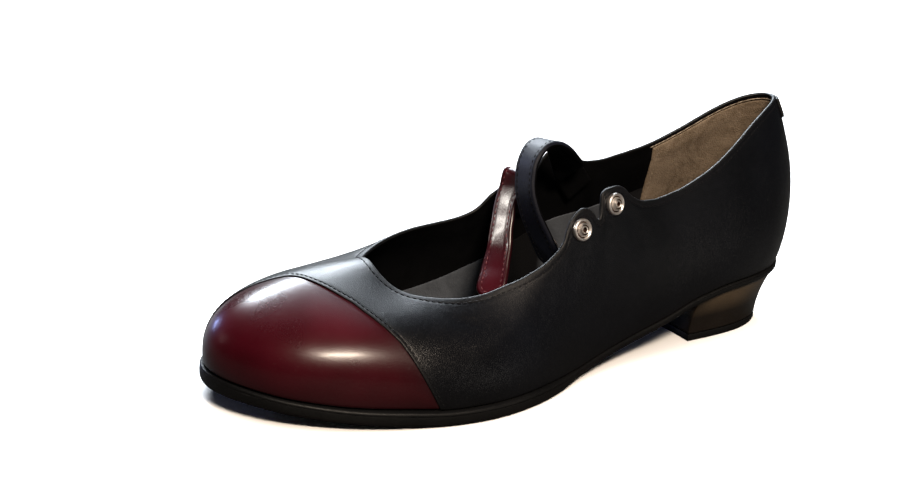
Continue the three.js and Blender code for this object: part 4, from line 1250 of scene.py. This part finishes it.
def barPath(bar):
    sunk = last["wall"] + barLook["seat"] + barLook["thick"] / 2
    slant = math.radians(bar["slant"])
    step = 4e-3
    centres = []
    widths = []
    for turn, up in bar["seats"]:
        toeward = unit(sidePoint(turn + step, up) - sidePoint(turn - step, up))
        down = unit(sidePoint(turn, up - step) - sidePoint(turn, up + step))
        centres.append(wallPoint(turn, up, np.array(sunk)))
        widths.append(toeward * math.cos(slant) + down * math.sin(slant))
    for along, side, high, planAngle, tiltAngle in bar["rows"]:
        x = along * last["length"] - last["back"]
        a = math.radians(planAngle)
        b = math.radians(tiltAngle)
        centres.append([x, side * last["ball"], float(bedAt(x)) + high * last["mouth"]])
        widths.append([math.cos(a) * math.cos(b), math.sin(a) * math.cos(b), math.sin(b)])
    centre = threadedCurve(centres)
    lean = threadedCurve(widths)
    marks = np.linspace(0, 1, 401)
    line = np.array([centre(t) for t in marks])
    gone = np.concatenate([[0], np.cumsum(np.linalg.norm(np.diff(line, axis=0), axis=1))])

    def frameAt(distance):
        t = float(np.interp(distance, gone, marks))
        place = centre(t)
        tangent = unit(centre(min(t + 1e-4, 1)) - centre(max(t - 1e-4, 0)))
        across = lean(t)
        across = unit(across - tangent * np.dot(across, tangent))
        return place, across, unit(np.cross(across, tangent))

    return frameAt, gone[-1]


def barWaveAt(distance):
    return (barLook["wave"] * math.sin(distance * barLook["ripple"] + 1.1)
            * math.sin(distance * barLook["swell"]))


def makeBar(bar, faceMaterial, slot, node, thread):
    look = barLook
    frameAt, total = barPath(bar)
    halfWidth = bar["width"] / 2
    halfThick = look["thick"] / 2
    straight = total - halfWidth
    distances = np.append(np.linspace(0, straight, 170), straight + halfWidth * np.array(tipShares))
    columns = 23
    sides = np.concatenate([np.linspace(-1, 1, columns), np.linspace(1, -1, columns)[1:-1]])
    onFace = np.arange(len(sides)) < columns
    # Columns crowd towards both rims so that the rounding stays smooth
    spread = np.sign(sides) * (1 - (1 - np.abs(sides)) ** 1.5)
    grid = []
    near = []
    for distance in distances:
        place, across, facing = frameAt(distance)
        past = max(0.0, (distance - straight) / halfWidth)
        offset = spread * halfWidth * math.sqrt(max(1 - past * past, 0))
        rim = halfWidth - np.hypot(offset, past * halfWidth)
        edgeFall = 1 - np.clip(np.maximum(rim, 0) / halfThick, 0, 1)
        height = halfThick * np.sqrt(np.maximum(1 - edgeFall**2, 0))
        face = height + look["bead"] * np.exp(-((rim - look["beadIn"]) / look["beadWide"]) ** 2)
        face -= look["stitchGroove"] * np.exp(-((rim - look["stitchIn"]) / look["stitchGrooveWide"]) ** 2)
        lift = np.where(onFace, face, -height) + barWaveAt(distance)
        lift[np.abs(sides) == 1] = barWaveAt(distance)
        grid.append(place + across * offset[:, None] + facing * lift[:, None])
        near.append(np.exp(-np.maximum(rim, 0) / look["edgeReach"]))
    grid = np.array(grid)
    faces = gridFaces(grid.shape[0], grid.shape[1], False, True)
    mesh = meshFrom(bar["name"] + "Skin", grid, faces, {"edgeNear": np.array(near)})
    lining = np.tile((np.arange(grid.shape[1]) >= columns - 1).astype(np.int32), grid.shape[0] - 1)
    mesh.polygons.foreach_set("material_index", lining)
    addPiece(closeMesh(mesh), [faceMaterial, liningBlack], [node])

    inset = halfWidth - look["stitchIn"]
    along = np.arange(look["stitchFrom"], straight, look["stitchStep"])
    angles = np.linspace(-math.pi / 2, math.pi / 2, 26)
    row = [(distance, -inset) for distance in along]
    row += [(straight + inset * math.cos(angle), inset * math.sin(angle)) for angle in angles]
    row += [(distance, inset) for distance in along[::-1]]
    points = []
    normals = []
    for distance, offset in row:
        place, across, facing = frameAt(distance)
        height = halfThick - upperLook["stitchSink"] + barWaveAt(distance)
        points.append(place + across * offset + facing * height)
        normals.append(facing)
    stitchLine(bar["name"] + "Stitch", points, normals, thread, slot, length=1.5, gap=0.7, width=0.42)
    return frameAt, straight


frontFrame, frontStraight = makeBar(frontBar, wineCalf, "wine_leather", "bar_front", wineThread)
rearFrame, rearStraight = makeBar(rearBar, navyCalf, "black_leather", "bar_rear", blackThread)
print("bars made")

# Press studs on the outer lobes, their sockets inside the bars' tips

studLook = dict(
    radius=4, height=2.1, sides=56,
    socketRadius=4.4, socketHeight=1.4, socketShank=0.55,
    socketFoot=-0.65,     # the shank ends inside the strip
    socketSeat=0.7,       # from the strip's inner face
    socketAt=39 / 40,     # share of the strip's straight length
)
# Turned profiles, as shares of radius and height from the rim inwards
studProfile = [
    [1.0, -0.1], [1.0, 0.26], [0.985, 0.4], [0.945, 0.52], [0.88, 0.58], [0.81, 0.56], [0.755, 0.46],
    [0.72, 0.3], [0.69, 0.2], [0.65, 0.2], [0.625, 0.3], [0.605, 0.62], [0.58, 0.84], [0.535, 0.95],
    [0.49, 0.93], [0.455, 0.8], [0.44, 0.6], [0.425, 0.5], [0.385, 0.5], [0.37, 0.6], [0.35, 0.84],
    [0.31, 0.95], [0.265, 0.92], [0.235, 0.76], [0.225, 0.3], [0.0, 0.24],
]
studDirt = [[0.62, 0.735], [0.37, 0.45], [0.0, 0.23]]  # shares of the radius: two grooves and the hole
studPlaces = (("stud_front", 0.271, 0.89), ("stud_rear", 0.3015, 0.9))  # node, turn, up
for name, turn, up in studPlaces:
    radius = studLook["radius"]
    profile = [[a * radius, b * studLook["height"]] for a, b in studProfile]
    place = wallPoint(np.array(turn), np.array(up), np.array(-last["gap"]))
    axis = Vector(sideNormal(np.array(turn), np.array(up)))
    mesh = latheMesh(name + "Metal", profile, studLook["sides"], place, axis)
    foot = Vector(place * millimetre)
    for polygon in mesh.polygons:
        away = polygon.center - foot
        share = (away - axis * away.dot(axis)).length / (radius * millimetre)
        if any(low <= share <= high for low, high in studDirt):
            polygon.material_index = 1
    addPiece(mesh, [brightNickel, studHole], [name], sharp=55)

socketProfile = [
    [1.0, 0.0], [1.0, 0.22], [0.96, 0.42], [0.86, 0.66], [0.8, 0.8], [0.72, 0.86], [0.62, 0.84],
    [0.55, 0.9], [0.47, 1.0], [0.4, 0.98], [0.36, 0.8], [0.34, 0.35], [0.0, 0.3],
]
barEnds = (("socket_front", frontFrame, frontStraight), ("socket_rear", rearFrame, rearStraight))
for name, frameAt, straight in barEnds:
    place, across, facing = frameAt(straight * studLook["socketAt"])
    seat = barLook["thick"] / 2 + studLook["socketSeat"]
    radius = studLook["socketRadius"]
    shank = studLook["socketShank"] * radius
    profile = [[0, studLook["socketFoot"]], [shank, studLook["socketFoot"]], [shank, 0.0]]
    profile += [[a * radius, b * studLook["socketHeight"]] for a, b in socketProfile]
    mesh = latheMesh(name + "Metal", profile, studLook["sides"], place - facing * seat, -facing)
    addPiece(mesh, brightNickel, [name], sharp=55)
print("press studs made")

# Floor, light and camera

floorLook = dict(size=9.0, colour=(0.92, 0.92, 0.92), dark=(0.9, 0.9, 0.905),
                 bounce=(0.035, 0.033, 0.03))  # a dull bounce keeps the white floor out of the gloss
bpy.ops.mesh.primitive_plane_add(size=floorLook["size"], location=(0, 0, -0.0001))
floor = bpy.context.active_object
floor.name = "paleFloor"
floorMaterial, floorTree, floorShader = newMaterial("paleFloor", roughness=0.6, specular_ior_level=0.2)
floorNoise = addTexture(floorTree, objectCoords(floorTree), "Noise", {"Scale": 3.0, "Detail": 3.0})
paleTone = mixColours(floorTree, floorNoise.outputs[0], floorLook["dark"], floorLook["colour"])
seenBy = addNode(floorTree, "ShaderNodeLightPath").outputs["Is Camera Ray"]
floorTone = mixColours(floorTree, seenBy, floorLook["bounce"], paleTone)
floorTree.links.new(floorTone, floorShader.inputs["Base Color"])
floor.data.materials.append(floorMaterial)

# The world is white to the camera and nearly dark to the shoe
worldLook = dict(colour=(0.97, 0.98, 1.0), lit=0.03, seen=1.0)
world = bpy.data.worlds.new("studio")
bpy.context.scene.world = world
world.use_nodes = True
worldTree = world.node_tree
background = worldTree.nodes["Background"]
background.inputs[0].default_value = worldLook["colour"] + (1.0,)
seenWorld = addNode(worldTree, "ShaderNodeLightPath").outputs["Is Camera Ray"]
worldStrength = rangeNode(worldTree, seenWorld, 0.0, 1.0, worldLook["lit"], worldLook["seen"])
worldTree.links.new(worldStrength, background.inputs[1])

lampRows = [
    # name, place, aim, size, power, colour
    ("backWindow", (-0.24, -0.9, 0.76), (0.18, 0.0, 0.04), (0.8, 0.36), 40, (0.84, 0.92, 1.0)),
    ("warmStrip", (0.43, 0.90, 0.95), (0.19, 0.03, 0.025), (0.42, 0.14), 26, (1.0, 0.84, 0.68)),
    ("toeGlint", (0.32, -1.1, 0.15), (0.21, 0.0, 0.03), (0.14, 0.1), 1.2, (0.4, 0.5, 1.0)),
    ("heelCard", (-0.55, 1.0, 0.08), (0.0, 0.02, 0.03), (0.3, 0.12), 0.5, (1.0, 0.93, 0.85)),
]


def addLamp(name, kind, power, colour=(1.0, 1.0, 1.0), place=None, aim=None):
    lamp = newObject(name, bpy.data.lights.new(name, kind))
    lamp.data.energy = power
    lamp.data.color = colour
    if aim:
        lamp.location = place
        lamp.rotation_euler = (Vector(aim) - Vector(place)).to_track_quat("-Z", "Y").to_euler()
    return lamp


for name, place, aim, size, power, colour in lampRows:
    panel = addLamp(name, "AREA", power, colour, place, aim).data
    panel.shape = "RECTANGLE"
    panel.size, panel.size_y = size

# A narrow spot gives the front bar its glint and leaves the cap alone
spotLook = dict(place=(0.9, -0.86, 0.37), aim=(0.092, -0.012, 0.05), power=18, colour=(1.0, 0.95, 0.88),
                radius=0.055, cone=6.5, blend=0.3)
spot = addLamp("barGlint", "SPOT", spotLook["power"], spotLook["colour"], spotLook["place"],
               spotLook["aim"]).data
spot.shadow_soft_size = spotLook["radius"]
spot.spot_size = math.radians(spotLook["cone"])
spot.spot_blend = spotLook["blend"]

# A soft sky from straight above whitens the floor, and stays out of the gloss
skyLook = dict(power=3.2, spread=70)
softSky = addLamp("softSky", "SUN", skyLook["power"])
softSky.data.angle = math.radians(skyLook["spread"])
softSky.visible_glossy = False

bpy.context.scene.view_settings.view_transform = "Standard"

cameraLook = dict(azimuth=141.071, elevation=18.316, roll=4.977, distance=0.447123,
                  target=(0.29395, 0.208429, 0.136112), lens=83.58)


def makeCamera():
    look = cameraLook
    a = math.radians(look["azimuth"])
    e = math.radians(look["elevation"])
    r = math.radians(look["roll"])
    back = Vector((math.sin(a) * math.cos(e), -math.cos(a) * math.cos(e), math.sin(e)))
    right = Vector((math.cos(a), math.sin(a), 0))
    up = back.cross(right)
    rolledRight = right * math.cos(r) + up * math.sin(r)
    rolledUp = up * math.cos(r) - right * math.sin(r)
    data = bpy.data.cameras.new("photoCamera")
    data.sensor_fit = "HORIZONTAL"
    data.sensor_width = 36
    data.lens = look["lens"]
    data.clip_start = 0.01
    camera = newObject("photoCamera", data)
    turned = Matrix((rolledRight, rolledUp, back)).transposed().to_4x4()
    turned.translation = Vector(look["target"]) + back * look["distance"]
    camera.matrix_world = turned
    bpy.context.scene.camera = camera


makeCamera()


print("scene ready")
